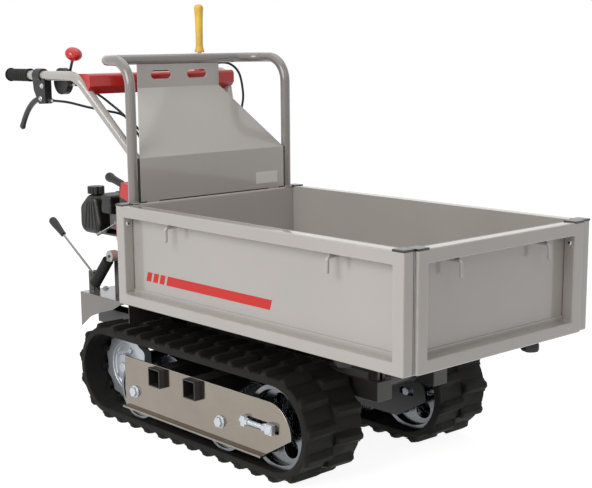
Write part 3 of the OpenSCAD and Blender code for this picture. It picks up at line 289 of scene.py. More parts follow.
@cache
def dust_effect() -> bpy.types.NodeTree:
    """Build the group for a mask of dust that settles on what faces up.

    Returns:
        The group's tree.
    """
    graph = mask_group("settled_dust")
    normal = graph.add("ShaderNodeNewGeometry").outputs["Normal"]
    rise = graph.add("ShaderNodeSeparateXYZ", {0: normal}).outputs["Z"]
    patch = graph.span(graph.noise(graph.given["Size"], 5.0), 0.1, 1.0, 0.35, 0.7)
    facing = graph.span(rise, 0.25, 1.0, -0.2, 0.9)
    return graph.close(Mask=graph.times(graph.times(facing, patch), graph.given["Amount"]))


@cache
def streak_effect() -> bpy.types.NodeTree:
    """Build the group for streaks that run the way a metal was drawn or rolled.

    Returns:
        The group's tree.
    """
    graph = Graph.group("drawn_streaks", "ShaderNodeTree", {"Stretch": "Vector", "Size": "Float"},
                        {"Streak": "Float", "Blotch": "Float"})
    place = graph.add("ShaderNodeTexCoord").outputs["Object"]
    drawn = graph.add("ShaderNodeMapping", {"Vector": place, "Scale": graph.given["Stretch"]})
    streak = graph.noise(graph.given["Size"], 3.0, drawn.outputs[0])
    return graph.close(Streak=streak, Blotch=graph.noise(7.0, 3.0, place))


@dataclass(frozen=True)
class Finish:
    """Surface finish that makes its material once.

    Attributes:
        name: Name of the material.
        slot: Slot of the record that it stands for; not used.
        colour: Main colour.
        roughness: Middle roughness.
    """

    name: str
    slot: str
    colour: Colour
    roughness: float

    def material(self) -> bpy.types.Material:
        """Make the material, or find the one that is made.

        Returns:
            The material.
        """
        found = bpy.data.materials.get(self.name)
        if found:
            return found
        made = bpy.data.materials.new(self.name)
        made.use_nodes = True
        self.shade(Graph(made.node_tree), made.node_tree.nodes["Principled BSDF"].inputs)
        return made

    def shade(self, graph: Graph, shader: bpy.types.NodeInputs) -> None:
        """Feed the shader's inputs; each kind of finish has its own way.

        Args:
            graph: Graph of the material.
            shader: Inputs of its shader.
        """
        raise NotImplementedError


@dataclass(frozen=True)
class Paint(Finish):
    """Sprayed paint with orange peel, paler edges that are partly wear and partly painted highlight, and a
    little dust.

    Attributes:
        coat: Weight of the clear coat.
        gloss: Roughness of the clear coat.
        peel: Strength of the orange peel.
        wear: Amount of paler edges, partly wear and partly painted highlight.
        dust: Amount of settled dust.
        spread: Share by which the tone wanders.
    """

    coat: float = 0.25
    gloss: float = 0.18
    peel: float = 0.03
    wear: float = 0.15
    dust: float = 0.06
    spread: float = 0.05

    def shade(self, graph: Graph, shader: bpy.types.NodeInputs) -> None:
        """Feed the shader with wandering tone, edge wear with a painted highlight, dust and peel.

        Args:
            graph: Graph of the material.
            shader: Inputs of its shader.
        """
        grain = graph.effect(grain_effect(), Size=2.4, Fine=420.0)
        wear = graph.effect(wear_effect(), Amount=self.wear, Size=38.0)
        dust = graph.effect(dust_effect(), Amount=self.dust, Size=11.0)
        light, dark = tint(self.colour, 1 + self.spread), tint(self.colour, 1 - self.spread)
        tone = graph.mix(graph.span(grain["Tone"], 0, 1), dark, light)
        # Paler rounded edges: wear, and partly a painted highlight.
        worn_and_highlit = graph.mix(wear["Mask"], tone, tint(self.colour, 1.5))
        graph.feed(shader["Base Color"], graph.mix(dust["Mask"], worn_and_highlit, PAINT_DUST))
        rough = graph.span(grain["Tone"], self.roughness - 0.05, self.roughness + 0.07)
        graph.feed(shader["Roughness"], rough)
        graph.feed(shader["Normal"], graph.bump(grain["Height"], self.peel, 0.0006))
        shader["Coat Weight"].default_value = self.coat
        shader["Coat Roughness"].default_value = self.gloss


@dataclass(frozen=True)
class Metal(Finish):
    """Bare or plated metal with drawn streaks and a second tone in blotches.

    Attributes:
        second: Colour of the blotches.
        stretch: Scale of the streaks along each axis.
        relief: Strength of the streaks' relief.
        wear: Amount of bright edges, partly bare wear and partly painted highlight.
        streak: Amount of the streaks' darker tone.
        metallic: How much of a metal it is.
    """

    second: Colour = (0.5, 0.5, 0.5, 1.0)
    stretch: Triple = (4.0, 60.0, 60.0)
    relief: float = 0.05
    wear: float = 0.2
    streak: float = 0.12
    metallic: float = 1.0

    def shade(self, graph: Graph, shader: bpy.types.NodeInputs) -> None:
        """Feed the shader with streaks, blotches and bright edges of wear and painted highlight.

        Args:
            graph: Graph of the material.
            shader: Inputs of its shader.
        """
        drawn = graph.effect(streak_effect(), Stretch=self.stretch, Size=6.0)
        wear = graph.effect(wear_effect(), Amount=self.wear, Size=50.0)
        tone = graph.mix(graph.span(drawn["Blotch"], 0, 1), self.colour, self.second)
        lined = graph.mix(graph.span(drawn["Streak"], 0, self.streak), tone, tint(self.second, 0.72))
        # Bright rounded edges: bare wear, and partly a painted highlight.
        graph.feed(shader["Base Color"], graph.mix(wear["Mask"], lined, BARE_EDGE_AND_HIGHLIGHT))
        rough = graph.span(drawn["Streak"], self.roughness - 0.03, self.roughness + 0.05)
        graph.feed(shader["Roughness"], rough)
        graph.feed(shader["Normal"], graph.bump(drawn["Streak"], self.relief, 0.0004))
        shader["Metallic"].default_value = self.metallic


@dataclass(frozen=True)
class Moulding(Finish):
    """Moulded plastic with a spark-eroded grain and paler edges of wear and painted highlight.

    Attributes:
        grain: Strength of the grain.
        fine: Scale of the grain.
        wear: Amount of paler edges, partly wear and partly painted highlight.
        dust: Amount of settled dust.
        coat: Weight of the glossy skin.
        gloss: Roughness of the glossy skin.
    """

    grain: float = 0.25
    fine: float = 900.0
    wear: float = 0.35
    dust: float = 0.10
    coat: float = 0.0
    gloss: float = 0.12

    def shade(self, graph: Graph, shader: bpy.types.NodeInputs) -> None:
        """Feed the shader with tone, pale edges of wear and painted highlight, dust and grain.

        Args:
            graph: Graph of the material.
            shader: Inputs of its shader.
        """
        grain = graph.effect(grain_effect(), Size=14.0, Fine=self.fine)
        wear = graph.effect(wear_effect(), Amount=self.wear, Size=70.0)
        dust = graph.effect(dust_effect(), Amount=self.dust, Size=16.0)
        tone = graph.mix(graph.span(grain["Tone"], 0, 1), tint(self.colour, 0.85), tint(self.colour, 1.2))
        # Paler rounded edges: wear, and partly a painted highlight.
        worn_and_highlit = graph.mix(wear["Mask"], tone, tint(self.colour, 2.2))
        graph.feed(shader["Base Color"], graph.mix(dust["Mask"], worn_and_highlit, PLASTIC_DUST))
        rough = graph.span(grain["Tone"], self.roughness - 0.06, self.roughness + 0.08)
        graph.feed(shader["Roughness"], rough)
        graph.feed(shader["Normal"], graph.bump(grain["Height"], self.grain, 0.0005))
        shader["Coat Weight"].default_value = self.coat
        shader["Coat Roughness"].default_value = self.gloss


@dataclass(frozen=True)
class Rubber(Finish):
    """Vulcanised rubber with a dull bloom, fine pits and settled dust.

    Attributes:
        bloom: Amount of the pale bloom.
        dust: Amount of settled dust.
        sheen: Level of the reflection.
        pits: Strength of the pits.
    """

    bloom: float = 0.5
    dust: float = 0.2
    sheen: float = 0.2
    pits: float = 0.35

    def shade(self, graph: Graph, shader: bpy.types.NodeInputs) -> None:
        """Feed the shader with bloom, dust and pits.

        Args:
            graph: Graph of the material.
            shader: Inputs of its shader.
        """
        grain = graph.effect(grain_effect(), Size=18.0, Fine=520.0)
        dust = graph.effect(dust_effect(), Amount=self.dust, Size=24.0)
        pale = graph.mix(graph.span(grain["Tone"], 0, self.bloom), self.colour, tint(self.colour, 2.4))
        graph.feed(shader["Base Color"], graph.mix(dust["Mask"], pale, RUBBER_DUST))
        rough = graph.span(grain["Tone"], self.roughness - 0.08, self.roughness + 0.08)
        graph.feed(shader["Roughness"], rough)
        graph.feed(shader["Normal"], graph.bump(grain["Height"], self.pits, 0.0008))
        shader["Specular IOR Level"].default_value = self.sheen


BODY = Paint("light_grey_paint", "body_paint", srgb(174, 169, 164), 0.32, coat=1.0, gloss=0.07)
# Darker copy of the body paint for the engine plate: painted shade, for its skirt that lies in shade.
PLATE_PAINTED_SHADE = Paint("shaded_grey_paint", "body_paint", srgb(103, 96, 91), 0.34, coat=1.0, gloss=0.08)
# Darker copy of the body paint for the hoop tube: painted shade and painted dark reflection.
HOOP_PAINTED_SHADE = Paint("hoop_grey_paint", "body_paint", srgb(126, 120, 116), 0.34, coat=1.0, gloss=0.08)
FRAME = Paint("black_frame_paint", "frame_paint", srgb(30, 29, 29), 0.42, dust=0.08)
RED = Paint("red_gloss_paint", "red_paint", srgb(198, 28, 26), 0.34, coat=0.4, gloss=0.14, dust=0.02)
STRIPE = Paint("red_stripe_film", "red_paint", srgb(204, 32, 26), 0.46, coat=0.0, wear=0.0, dust=0.0)
PLATE_FILM = Paint("pale_label_film", "body_paint", srgb(222, 220, 214), 0.4, coat=0.2, wear=0.0)
ZINC = Metal("bright_zinc", "zinc", srgb(206, 212, 218), 0.36, srgb(196, 202, 208),
             (24.0, 24.0, 24.0), metallic=0.7)
ROD = Metal("drawn_rod", "zinc", srgb(150, 150, 148), 0.3, srgb(132, 132, 130),
            (40.0, 40.0, 40.0), relief=0.04)
PLATE = Metal("rolled_plate_steel", "plate_steel", srgb(148, 140, 130), 0.12, srgb(139, 131, 121),
              relief=0.01, streak=0.06)
# Darker copy of the zinc for the idlers and rollers: painted shade, as they sit in shadow inside the tracks.
WHEEL_PAINTED_SHADE = Metal("dull_zinc", "zinc", srgb(126, 131, 135), 0.24, srgb(108, 112, 116), (24.0, 24.0, 24.0))
CAST = Metal("cast_aluminium", "cast_metal", srgb(132, 132, 130), 0.45, srgb(104, 103, 100),
             (60.0, 60.0, 60.0), relief=0.3)
EXHAUST = Metal("heat_tinted_steel", "exhaust_steel", srgb(126, 120, 112), 0.4, srgb(98, 84, 74),
                (20.0, 60.0, 60.0))
BLACK = Moulding("black_moulding", "black_plastic", srgb(26, 26, 27), 0.44,
                 grain=0.12, wear=0.2, dust=0.05)
TANK = Moulding("black_tank_moulding", "black_plastic", srgb(17, 17, 16), 0.38,
                grain=0.06, wear=0.2, dust=0.05)
CAP = Moulding("black_gloss_cap", "black_plastic", srgb(30, 29, 29), 0.3,
               grain=0.02, wear=0.1, dust=0.02, coat=0.3)
KNOB_RED = Moulding("red_knob_moulding", "red_plastic", srgb(205, 30, 28), 0.26,
                    grain=0.0, fine=20.0, wear=0.0, dust=0.0, coat=0.3)
YELLOW = Moulding("yellow_dipped_grip", "yellow_plastic", srgb(250, 198, 78), 0.36,
                  grain=0.03, wear=0.1, dust=0.02)
TREAD = Rubber("tread_rubber", "rubber", srgb(19, 18, 17), 0.66, bloom=0.3, dust=0.04)
GRIP = Rubber("grip_rubber", "rubber", srgb(26, 26, 26), 0.6, dust=0.04)
SHEATH = Rubber("cable_sheath", "rubber", srgb(24, 24, 25), 0.42, bloom=0.3, dust=0.04)


def tree_group(name: str, host: str, **inputs: str) -> Graph:
    """Start a geometry tree whose first input is the host's own geometry."""
    sockets = {host: "Geometry", **inputs, "Finish": "Material"}
    return Graph.group(name, "GeometryNodeTree", sockets, {"Result": "Geometry"})


@cache
def tube_tree() -> bpy.types.NodeTree:
    """Build the tree that sweeps a round tube along a path.

    Returns:
        The tree.
    """
    graph = tree_group("swept_tube", "Path", Radius="Float", Sides="Int")
    ring = graph.add("GeometryNodeCurvePrimitiveCircle",
                     {"Resolution": graph.given["Sides"], "Radius": graph.given["Radius"]})
    feeds = {"Curve": graph.given["Path"], "Profile Curve": ring, "Fill Caps": True}
    return graph.deliver(graph.add("GeometryNodeCurveToMesh", feeds))


@cache
def block_tree() -> bpy.types.NodeTree:
    """Build the tree that sets blocks at an even pitch round a loop that stands in the x-z plane.

    Returns:
        The tree.
    """
    graph = tree_group("blocks_round_loop", "Path", Block="Object", Count="Int")
    feeds = {"Curve": graph.given["Path"], "Count": graph.given["Count"]}
    points = graph.add("GeometryNodeCurveToPoints", feeds)
    turn = graph.add("FunctionNodeAlignRotationToVector", {"Vector": points.outputs["Tangent"]},
                     axis="X", pivot_axis="Y")
    block = graph.add("GeometryNodeObjectInfo", {"Object": graph.given["Block"]})
    feeds = {"Points": points.outputs["Points"], "Instance": block.outputs["Geometry"], "Rotation": turn}
    return graph.deliver(graph.add("GeometryNodeInstanceOnPoints", feeds))


@cache
def hardware_tree() -> bpy.types.NodeTree:
    """Build the tree that sets a bolt on every spot, turned the way the spot faces.

    Returns:
        The tree.
    """
    graph = tree_group("hardware_at_spots", "Spots", Bolt="Object")
    facing = graph.add("GeometryNodeInputNamedAttribute", {"Name": "facing"}, data_type="FLOAT_VECTOR")
    turn = graph.add("FunctionNodeAlignRotationToVector", {"Vector": facing.outputs["Attribute"]}, axis="Z")
    bolt = graph.add("GeometryNodeObjectInfo", {"Object": graph.given["Bolt"]})
    feeds = {"Points": graph.given["Spots"], "Instance": bolt.outputs["Geometry"], "Rotation": turn}
    return graph.deliver(graph.add("GeometryNodeInstanceOnPoints", feeds))


@cache
def thread_tree() -> bpy.types.NodeTree:
    """Build the tree that winds a screw thread along x from a start point.

    Returns:
        The tree.
    """
    graph = tree_group("screw_thread", "Host", Radius="Float", Ridge="Float", Turns="Float", Length="Float",
                       Start="Vector")
    given = graph.given
    feeds = {"Resolution": 14, "Rotations": given["Turns"], "Start Radius": given["Radius"],
             "End Radius": given["Radius"], "Height": given["Length"]}
    coil = graph.add("GeometryNodeCurveSpiral", feeds)
    ridge = graph.add("GeometryNodeCurvePrimitiveCircle", {"Resolution": 5, "Radius": given["Ridge"]})
    thread = graph.add("GeometryNodeCurveToMesh", {"Curve": coil, "Profile Curve": ridge, "Fill Caps": True})
    feeds = {"Geometry": thread, "Translation": given["Start"], "Rotation": (0.0, math.pi / 2, 0.0)}
    return graph.deliver(graph.add("GeometryNodeTransform", feeds))


def grown(tree: bpy.types.NodeTree, host: bpy.types.ID, **values: object) -> bpy.types.Mesh:
    """Run a geometry tree once.

    Args:
        tree: The tree.
        host: Mesh or curve that the tree starts from.
        values: Values of the tree's inputs by name.

    Returns:
        The result as a plain mesh.
    """
    carrier = bpy.data.objects.new("carrier", host)
    bpy.context.scene.collection.objects.link(carrier)
    modifier = carrier.modifiers.new("grow", "NODES")
    modifier.node_group = tree
    for item in tree.interface.items_tree:
        if item.in_out == "INPUT" and item.name in values:
            modifier[item.identifier] = values[item.name]
    mesh = bpy.data.meshes.new_from_object(carrier.evaluated_get(bpy.context.evaluated_depsgraph_get()))
    carrier.modifiers.remove(modifier)
    bpy.data.objects.remove(carrier)
    return mesh


def path_curve(points: Sequence[Vector], cyclic: bool = False) -> bpy.types.Curve:
    """Poly curve for a geometry tree to follow.

    Args:
        points: Points of the curve.
        cyclic: Whether it closes into a loop.

    Returns:
        The curve.
    """
    curve = bpy.data.curves.new("path", "CURVE")
    curve.dimensions = "3D"
    spline = curve.splines.new("POLY")
    spline.points.add(len(points) - 1)
    for target, point in zip(spline.points, points):
        target.co = (*point, 1.0)
    spline.use_cyclic_u = cyclic
    return curve


def bent_path(corners: Sequence[Vector], bend: float, steps: int = 12) -> list[Vector]:
    """Path along corner points with round bends.

    Args:
        corners: Corner points of the bar.
        bend: Centreline radius of the bends.
        steps: Pieces in a bend.

    Returns:
        The points of the path.
    """
    points = [corners[0]]
    for before, corner, after in zip(corners, corners[1:], corners[2:]):
        come = (corner - before).normalized()
        leave = (after - corner).normalized()
        turn = come.angle(leave)
        side = (leave - come * come.dot(leave)).normalized()
        centre = corner - come * bend * math.tan(turn / 2) + side * bend
        for k in range(steps + 1):
            a = turn * k / steps
            points.append(centre - side * bend * math.cos(a) + come * bend * math.sin(a))
    points.append(corners[-1])
    return points


def smooth_route(points: Sequence[Vector], steps: int = 8) -> list[Vector]:
    """Catmull-Rom curve through the points of a route.

    Args:
        points: Points of the route.
        steps: Pieces between two of them.

    Returns:
        The points of the curve.
    """
    last = len(points) - 1
    curve = []
    for i in range(last):
        a, b, c, d = (points[max(0, min(last, i + k))] for k in (-1, 0, 1, 2))
        for j in range(steps):
            t = j / steps
            curve.append(0.5 * (2 * b + (c - a) * t + (2 * a - 5 * b + 4 * c - d) * t ** 2
                                + (3 * b - a - 3 * c + d) * t ** 3))
    return curve + [points[last]]


class Shape:
    """Mesh under construction, whose rounded edges are marked for the wear and painted highlight of the
    finish.
    """

    def __init__(self) -> None:
        """Start an empty mesh."""
        self.bm = bmesh.new()
        self.bm.faces.layers.float.new("edge")

    def merge(self, mesh: bpy.types.Mesh) -> "Shape":
        """Add a mesh that is already in place, and remove it.

        Args:
            mesh: The mesh.

        Returns:
            The shape itself.
        """
        self.bm.from_mesh(mesh)
        bpy.data.meshes.remove(mesh)
        return self

    def _take(self, part: bmesh.types.BMesh, radius: float, outward: bool = True) -> "Shape":
        """Round a part's edges and add it.

        Args:
            part: The part, which is freed.
            radius: Radius of the rounded edges, or zero for sharp ones.
            outward: Whether its doubles are merged and its faces turned outwards first.

        Returns:
            The shape itself.
        """
        if outward:
            bmesh.ops.remove_doubles(part, verts=part.verts, dist=WELD)
            bmesh.ops.recalc_face_normals(part, faces=part.faces)
        mark = part.faces.layers.float.new("edge")
        chosen = [e for e in part.edges if radius > 0 and self._roundable(e, radius)]
        if chosen:
            made = bmesh.ops.bevel(part, geom=chosen, offset=radius, offset_type="OFFSET", segments=3,
                                   profile=0.5, affect="EDGES", clamp_overlap=False, loop_slide=True)
            for face in made["faces"]:
                face[mark] = 1.0
        mesh = bpy.data.meshes.new("part")
        part.to_mesh(mesh)
        part.free()
        return self.merge(mesh)

    @staticmethod
    def _roundable(edge: bmesh.types.BMEdge, radius: float) -> bool:
        """Say whether an edge can be rounded.

        Args:
            edge: The edge.
            radius: Radius of the rounding.

        Returns:
            Whether it is sharp and long enough, between faces that are wide enough.
        """
        if len(edge.link_faces) != 2 or edge.calc_face_angle(0.0) < EDGE_ANGLE:
            return False
        if edge.calc_length() < SHORTEST_EDGE * radius:
            return False
        start = edge.verts[0].co
        run = (edge.verts[1].co - start).normalized()
        for face in edge.link_faces:
            reach = max((v.co - start - run * run.dot(v.co - start)).length for v in face.verts)
            if reach < NARROWEST_FACE * radius:
                return False
        return True

    def box(self, first: Vector, second: Vector, radius: float = 0.002) -> "Shape":
        """Add a box.

        Args:
            first: One corner.
            second: The corner across from it.
            radius: Radius of its edges.

        Returns:
            The shape itself.
        """
        low = Vector(map(min, first, second))
        high = Vector(map(max, first, second))
        part = bmesh.new()
        size = high - low
        place = Matrix.Translation((low + high) / 2) @ Matrix.Diagonal((*size, 1.0))
        bmesh.ops.create_cube(part, size=1.0, matrix=place)
        return self._take(part, min(radius, 0.45 * min(size)))

    def prism(self, outline: Sequence[Vector], run: Vector, radius: float = 0.001) -> "Shape":
        """Add a slab.

        Args:
            outline: Corners of its face.
            run: Way and length that the face is drawn out.
            radius: Radius of its edges.

        Returns:
            The shape itself.
        """
        part = bmesh.new()
        near = [part.verts.new(p) for p in outline]
        far = [part.verts.new(p + run) for p in outline]
        part.faces.new(near)
        part.faces.new(reversed(far))
        for i in range(len(near)):
            j = (i + 1) % len(near)
            part.faces.new((near[i], near[j], far[j], far[i]))
        return self._take(part, radius)

    def surround(self, outer: Ring, inner: Ring, run: Vector, radius: float) -> "Shape":
        """Add a frame between two outlines of four corners.

        Args:
            outer: Outer corners.
            inner: Inner corners.
            run: Way and length that the frame is drawn out.
            radius: Radius of its edges.

        Returns:
            The shape itself.
        """
        part = bmesh.new()
        rows = [[part.verts.new(p + shift) for p in ring]
                for shift in (Vector(), run) for ring in (outer, inner)]
        for one, two in ((rows[0], rows[1]), (rows[1], rows[3]), (rows[3], rows[2]), (rows[2], rows[0])):
            for i in range(4):
                j = (i + 1) % 4
                part.faces.new((one[i], one[j], two[j], two[i]))
        return self._take(part, radius)

    def loft(self, rings: Sequence[Ring], radius: float = 0.0, loop: bool = False) -> "Shape":
        """Add a skin over rings of points.

        Args:
            rings: Rings with the same number of points.
            radius: Radius of its edges.
            loop: Whether it closes into a loop, and not with a face at each end.

        Returns:
            The shape itself.
        """
        part = bmesh.new()
        rows = [[part.verts.new(p) for p in ring] for ring in rings]
        pairs = list(zip(rows, rows[1:])) + ([(rows[-1], rows[0])] if loop else [])
        for one, two in pairs:
            for i in range(len(one)):
                j = (i + 1) % len(one)
                part.faces.new((one[i], one[j], two[j], two[i]))
        if not loop:
            part.faces.new(rows[0])
            part.faces.new(reversed(rows[-1]))
        bmesh.ops.dissolve_degenerate(part, edges=part.edges, dist=WELD)
        return self._take(part, radius)

    def lathe(self, profile: Profile, foot: Vector, axis: Vector, steps: int = 40) -> "Shape":
        """Add a turned shape.

        Args:
            profile: Radius and height of each ring, in millimetres.
            foot: Point where the height is zero.
            axis: Direction of the axis.
            steps: Points in a ring.

        Returns:
            The shape itself.
        """
        turn = axis.to_track_quat("Z", "Y").to_matrix()
        rings = [[foot + turn @ Vector((r * math.cos(a), r * math.sin(a), h)) * MM for a in turns(steps)]
                 for r, h in profile]
        return self.loft(rings)

    def sweep(self, path: Sequence[Vector], section: Callable[[float], Ring], across: Vector) -> "Shape":
        """Add a bar whose section may change along its path.

        Args:
            path: Points of the centreline.
            section: Ring in the plane of across and the third direction, for a share of the path.
            across: Direction that stays across the bar.

        Returns:
            The shape itself.
        """
        rings = []
        for i, point in enumerate(path):
            along = (path[min(i + 1, len(path) - 1)] - path[max(i - 1, 0)]).normalized()
            third = along.cross(across).normalized()
            ring = section(i / (len(path) - 1))
            rings.append([point + across * p.x + third * p.y + along * p.z for p in ring])
        return self.loft(rings)

    def tube(self, path: Sequence[Vector], radius: float, finish: Finish, sides: int = 28) -> "Shape":
        """Add a round tube along a path."""
        curve = path_curve(path)
        return self.merge(grown(tube_tree(), curve, Radius=radius, Sides=sides, Finish=finish.material()))

    def bolts(self, size: float, spots: Sequence[tuple[Vector, Vector]], finish: Finish) -> "Shape":
        """Add hex bolts with washers.

        Args:
            size: Width over the flats in metres.
            spots: Seat and facing direction of each bolt.
            finish: Finish of the bolts.

        Returns:
            The shape itself.
        """
        wide, flat = size * 0.85 / MM, size * 0.58 / MM
        washer = [(0, -0.5), (wide, -0.5), (wide, 1.2), (wide - 0.6, 1.8), (0, 1.8)]
        top = 1.8 + flat * 0.7
        head = [(0, 1.7), (flat, 1.7), (flat, top - 1), (flat - 1, top), (0, top)]
        bolt = Shape().lathe(washer, Vector(), UP, 20).lathe(head, Vector(), UP, 6).loose("bolt")
        host = bpy.data.meshes.new("spots")
        host.from_pydata([seat for seat, _ in spots], [], [])
        facing = host.attributes.new("facing", "FLOAT_VECTOR", "POINT")
        for entry, (_, way) in zip(facing.data, spots):
            entry.vector = way
        mesh = grown(hardware_tree(), host, Bolt=bolt, Finish=finish.material())
        bpy.data.objects.remove(bolt)
        return self.merge(mesh)

    def copy(self, node: str, radius: float) -> "Shape":
        """Add a merged copy of a node.

        Args:
            node: The node.
            radius: Radius of its edges.

        Returns:
            The shape itself.
        """
        part = bmesh.new()
        part.from_mesh(frame["nodes"][node].data)
        bmesh.ops.remove_doubles(part, verts=part.verts, dist=WELD)
        bmesh.ops.dissolve_degenerate(part, edges=part.edges, dist=WELD)
        bmesh.ops.dissolve_limit(part, angle_limit=FLAT_ANGLE, verts=part.verts, edges=part.edges)
        return self._take(part, radius, outward=False)

    def split(self, height: float) -> "Shape":
        """Move the faces whose middle lies above a height into a shape of their own.

        Args:
            height: The height in metres.

        Returns:
            The upper shape.
        """
        upper = Shape()
        upper.bm.free()
        upper.bm = self.bm.copy()
        for bm, above in ((self.bm, True), (upper.bm, False)):
            gone = [f for f in bm.faces if (f.calc_center_median().z > height) == above]
            bmesh.ops.delete(bm, geom=gone, context="FACES")
        return upper

    def loose(self, name: str) -> bpy.types.Object:
        """Turn the shape into an object at the origin.

        Args:
            name: Name of the object.

        Returns:
            The object.
        """
        mesh = bpy.data.meshes.new(name)
        self.bm.to_mesh(mesh)
        self.bm.free()
        piece = bpy.data.objects.new(name, mesh)
        bpy.context.scene.collection.objects.link(piece)
        return piece

    def piece(self, name: str, finish: Finish, body: str, *nodes: str) -> bpy.types.Object:
        """Finish the shape as a piece of the machine.

        Args:
            name: Name of the piece.
            finish: Its finish.
            body: Body that it rides on.
            nodes: Nodes that it stands for.

        Returns:
            The dressed piece.
        """
        piece = self.loose(name)
        piece.data.shade_smooth()
        piece.data.set_sharp_from_angle(angle=SHARP_ANGLE)
        modifier = piece.modifiers.new("normals", "WEIGHTED_NORMAL")
        modifier.keep_sharp = True
        rough = piece.data
        piece.data = bpy.data.meshes.new_from_object(
            piece.evaluated_get(bpy.context.evaluated_depsgraph_get()))
        piece.modifiers.remove(modifier)
        bpy.data.meshes.remove(rough)
        piece.data.name = name
        piece.data.materials.clear()
        piece.data.materials.append(finish.material())
        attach(piece, body)
        if nodes:
            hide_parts(*nodes)
        LOG.info("%s rides on %s in %s", name, body, finish.name)
        return piece


def dress_copies(copies: dict[str, tuple[Finish, float]]) -> None:
    """Replace nodes by copies with rounded edges.

    Args:
        copies: Finish, and edge radius in millimetres, by node.
    """
    for node, (finish, radius) in copies.items():
        Shape().copy(node, radius * MM).piece(f"{node}_piece", finish, BODY_OF[node], node)


@dataclass
class Panel:
    """Drop side: folded posts and rails round a sheet, with rope hooks and sliding tubes.

    Attributes:
        word: Which side it is.
        corner: Outer lower corner where it starts.
        along: Direction of its length.
        inward: Direction of its depth.
        length: Length in metres.
        hooks: Places of the rope hooks, in millimetres along it.
        tubes: Places of the sliding tubes.
        tube_len: Length of the sliding tubes.
        tube_rise: Middle of the sliding tubes above the panel's foot.
    """

    word: str
    corner: Vector
    along: Vector
    inward: Vector
    length: float
    hooks: tuple[float, ...]
    tubes: tuple[float, ...]
    tube_len: float
    tube_rise: float = 15
    tube_w: float = 25
    height: float = 270
    depth: float = 34
    post: float = 34
    top_rail: float = 32
    bottom_rail: float = 30
    sheet: float = 2
    fold: float = 12
    lap: float = 0.5
    cap: float = 3
    cap_lip: float = 0.6
    cap_skirt: float = 2.5
    hook_d: float = 9
    hook_out: float = 6
    hook_below: float = 6
    hook_drop: float = 34
    hook_bend: float = 9
    screw_below: float = 17
    screw_in: float = 15

    @property
    def body(self) -> str:
        """Body that the panel slides on."""
        return f"{self.word}_side"

    @property
    def size(self) -> float:
        """Length in millimetres."""
        return self.length / MM

    def at(self, u: float, v: float, w: float) -> Vector:
        """Point of the panel from its length, depth and height in millimetres."""
        return self.corner + (self.along * u + self.inward * v + UP * w) * MM

    def corners(self, us: tuple[float, float], ws: tuple[float, float]) -> Ring:
        """Corners of an outline on the panel's outer face."""
        return [self.at(u, 0, w) for u, w in ((us[0], ws[0]), (us[1], ws[0]), (us[1], ws[1]), (us[0], ws[1]))]

    def build(self) -> None:
        """Make the panel, its hooks, its caps and the screws in its posts."""
        self.frame().piece(f"{self.word}_panel_frame", BODY, self.body, f"{self.word}_panel")
        self.hook_rods().piece(f"{self.word}_panel_hooks", BODY, self.body)
        self.caps().piece(f"{self.word}_post_caps", CAP, self.body, f"{self.word}_caps")
        self.screws()

    def frame(self) -> Shape:
        """Make the posts, rails, sheet, fold and sliding tubes.

        Returns:
            Their shape.
        """
        shape = Shape()
        skin = self.depth - self.sheet
        inner = (self.post, self.size - self.post)
        window = (self.bottom_rail, self.height - self.top_rail)
        shape.surround(self.corners((0, self.size), (0, self.height)), self.corners(inner, window),
                       self.inward * skin * MM, radius=0.004)
        shape.box(self.at(0, skin, 0), self.at(self.size, self.depth, self.height), radius=0.0008)
        shape.box(self.at(inner[0], skin - 2 * self.sheet, self.bottom_rail - self.sheet),
                  self.at(inner[1], skin + self.sheet / 2, self.bottom_rail + self.fold), radius=0.0015)
        half = self.tube_w / 2
        for u in self.tubes:
            shape.box(self.at(u - half, self.depth - self.lap, self.tube_rise - half),
                      self.at(u + half, self.depth + self.tube_len, self.tube_rise + half), radius=0.003)
        return shape

    def hook_rods(self) -> Shape:
        """Make the bent rods under the top rail, with round ends.

        Returns:
            Their shape.
        """
        shape = Shape()
        knee = self.hook_d / 2 - self.hook_out
        stub = self.height - self.top_rail - self.hook_below
        radius = self.hook_d / 2 * MM
        dome = [(0.0, 1.0)] + [(math.sin(a), math.cos(a)) for a in (0.5, 1.0, 1.4)]
        for u in self.hooks:
            corners = [self.at(u, self.depth - self.sheet / 2, stub), self.at(u, knee, stub),
                       self.at(u, knee, stub - self.hook_drop)]
            path = bent_path(corners, self.hook_bend * MM, 8)
            tail = [path[-1] - UP * radius * rise for rise, _ in dome]
            widths = [1.0] * (len(path) - 1) + [width for _, width in dome]

            def section(share: float, widths: list[float] = widths) -> Ring:
                """Round section that closes in a dome at the rod's end."""
                size = radius * widths[round(share * (len(widths) - 1))]
                return [Vector((size * math.cos(a), size * math.sin(a), 0)) for a in turns(16)]

            shape.sweep(path[:-1] + tail, section, self.along)
        return shape

    def caps(self) -> Shape:
        """Make the caps of both posts, each a lip wider than its post.

        Returns:
            Their shape.
        """
        shape = Shape()
        lip = self.cap_lip
        for u in (0, self.size - self.post):
            shape.box(self.at(u - lip, -lip, self.height - self.cap_skirt),
                      self.at(u + self.post + lip, self.depth + lip, self.height + self.cap), radius=0.0012)
        return shape

    def screws(self) -> None:
        """Set a button screw in each post, under the top rail, with a dark disc in its socket as painted
        shade.
        """
        button = [(0, 0.6), (3.4, 0.6), (3.4, 3.8), (5, 3.4), (6.4, 2), (6.4, -0.5), (0, -0.5)]
        # Dark disc inside each socket: painted shade in the recess.
        socket_shade_disc = [(0, 0.5), (3.5, 0.5), (3.5, 3.2), (0, 3.2)]
        rise = self.height - self.top_rail - self.screw_below
        heads, sockets = Shape(), Shape()
        for u, way in ((self.post, self.along), (self.size - self.post, -self.along)):
            seat = self.at(u, self.screw_in, rise)
            heads.lathe(button, seat, way, 24)
            sockets.lathe(socket_shade_disc, seat, way, 24)
        heads.piece(f"{self.word}_post_screws", ZINC, self.body)
        sockets.piece(f"{self.word}_screw_sockets", FRAME, self.body)


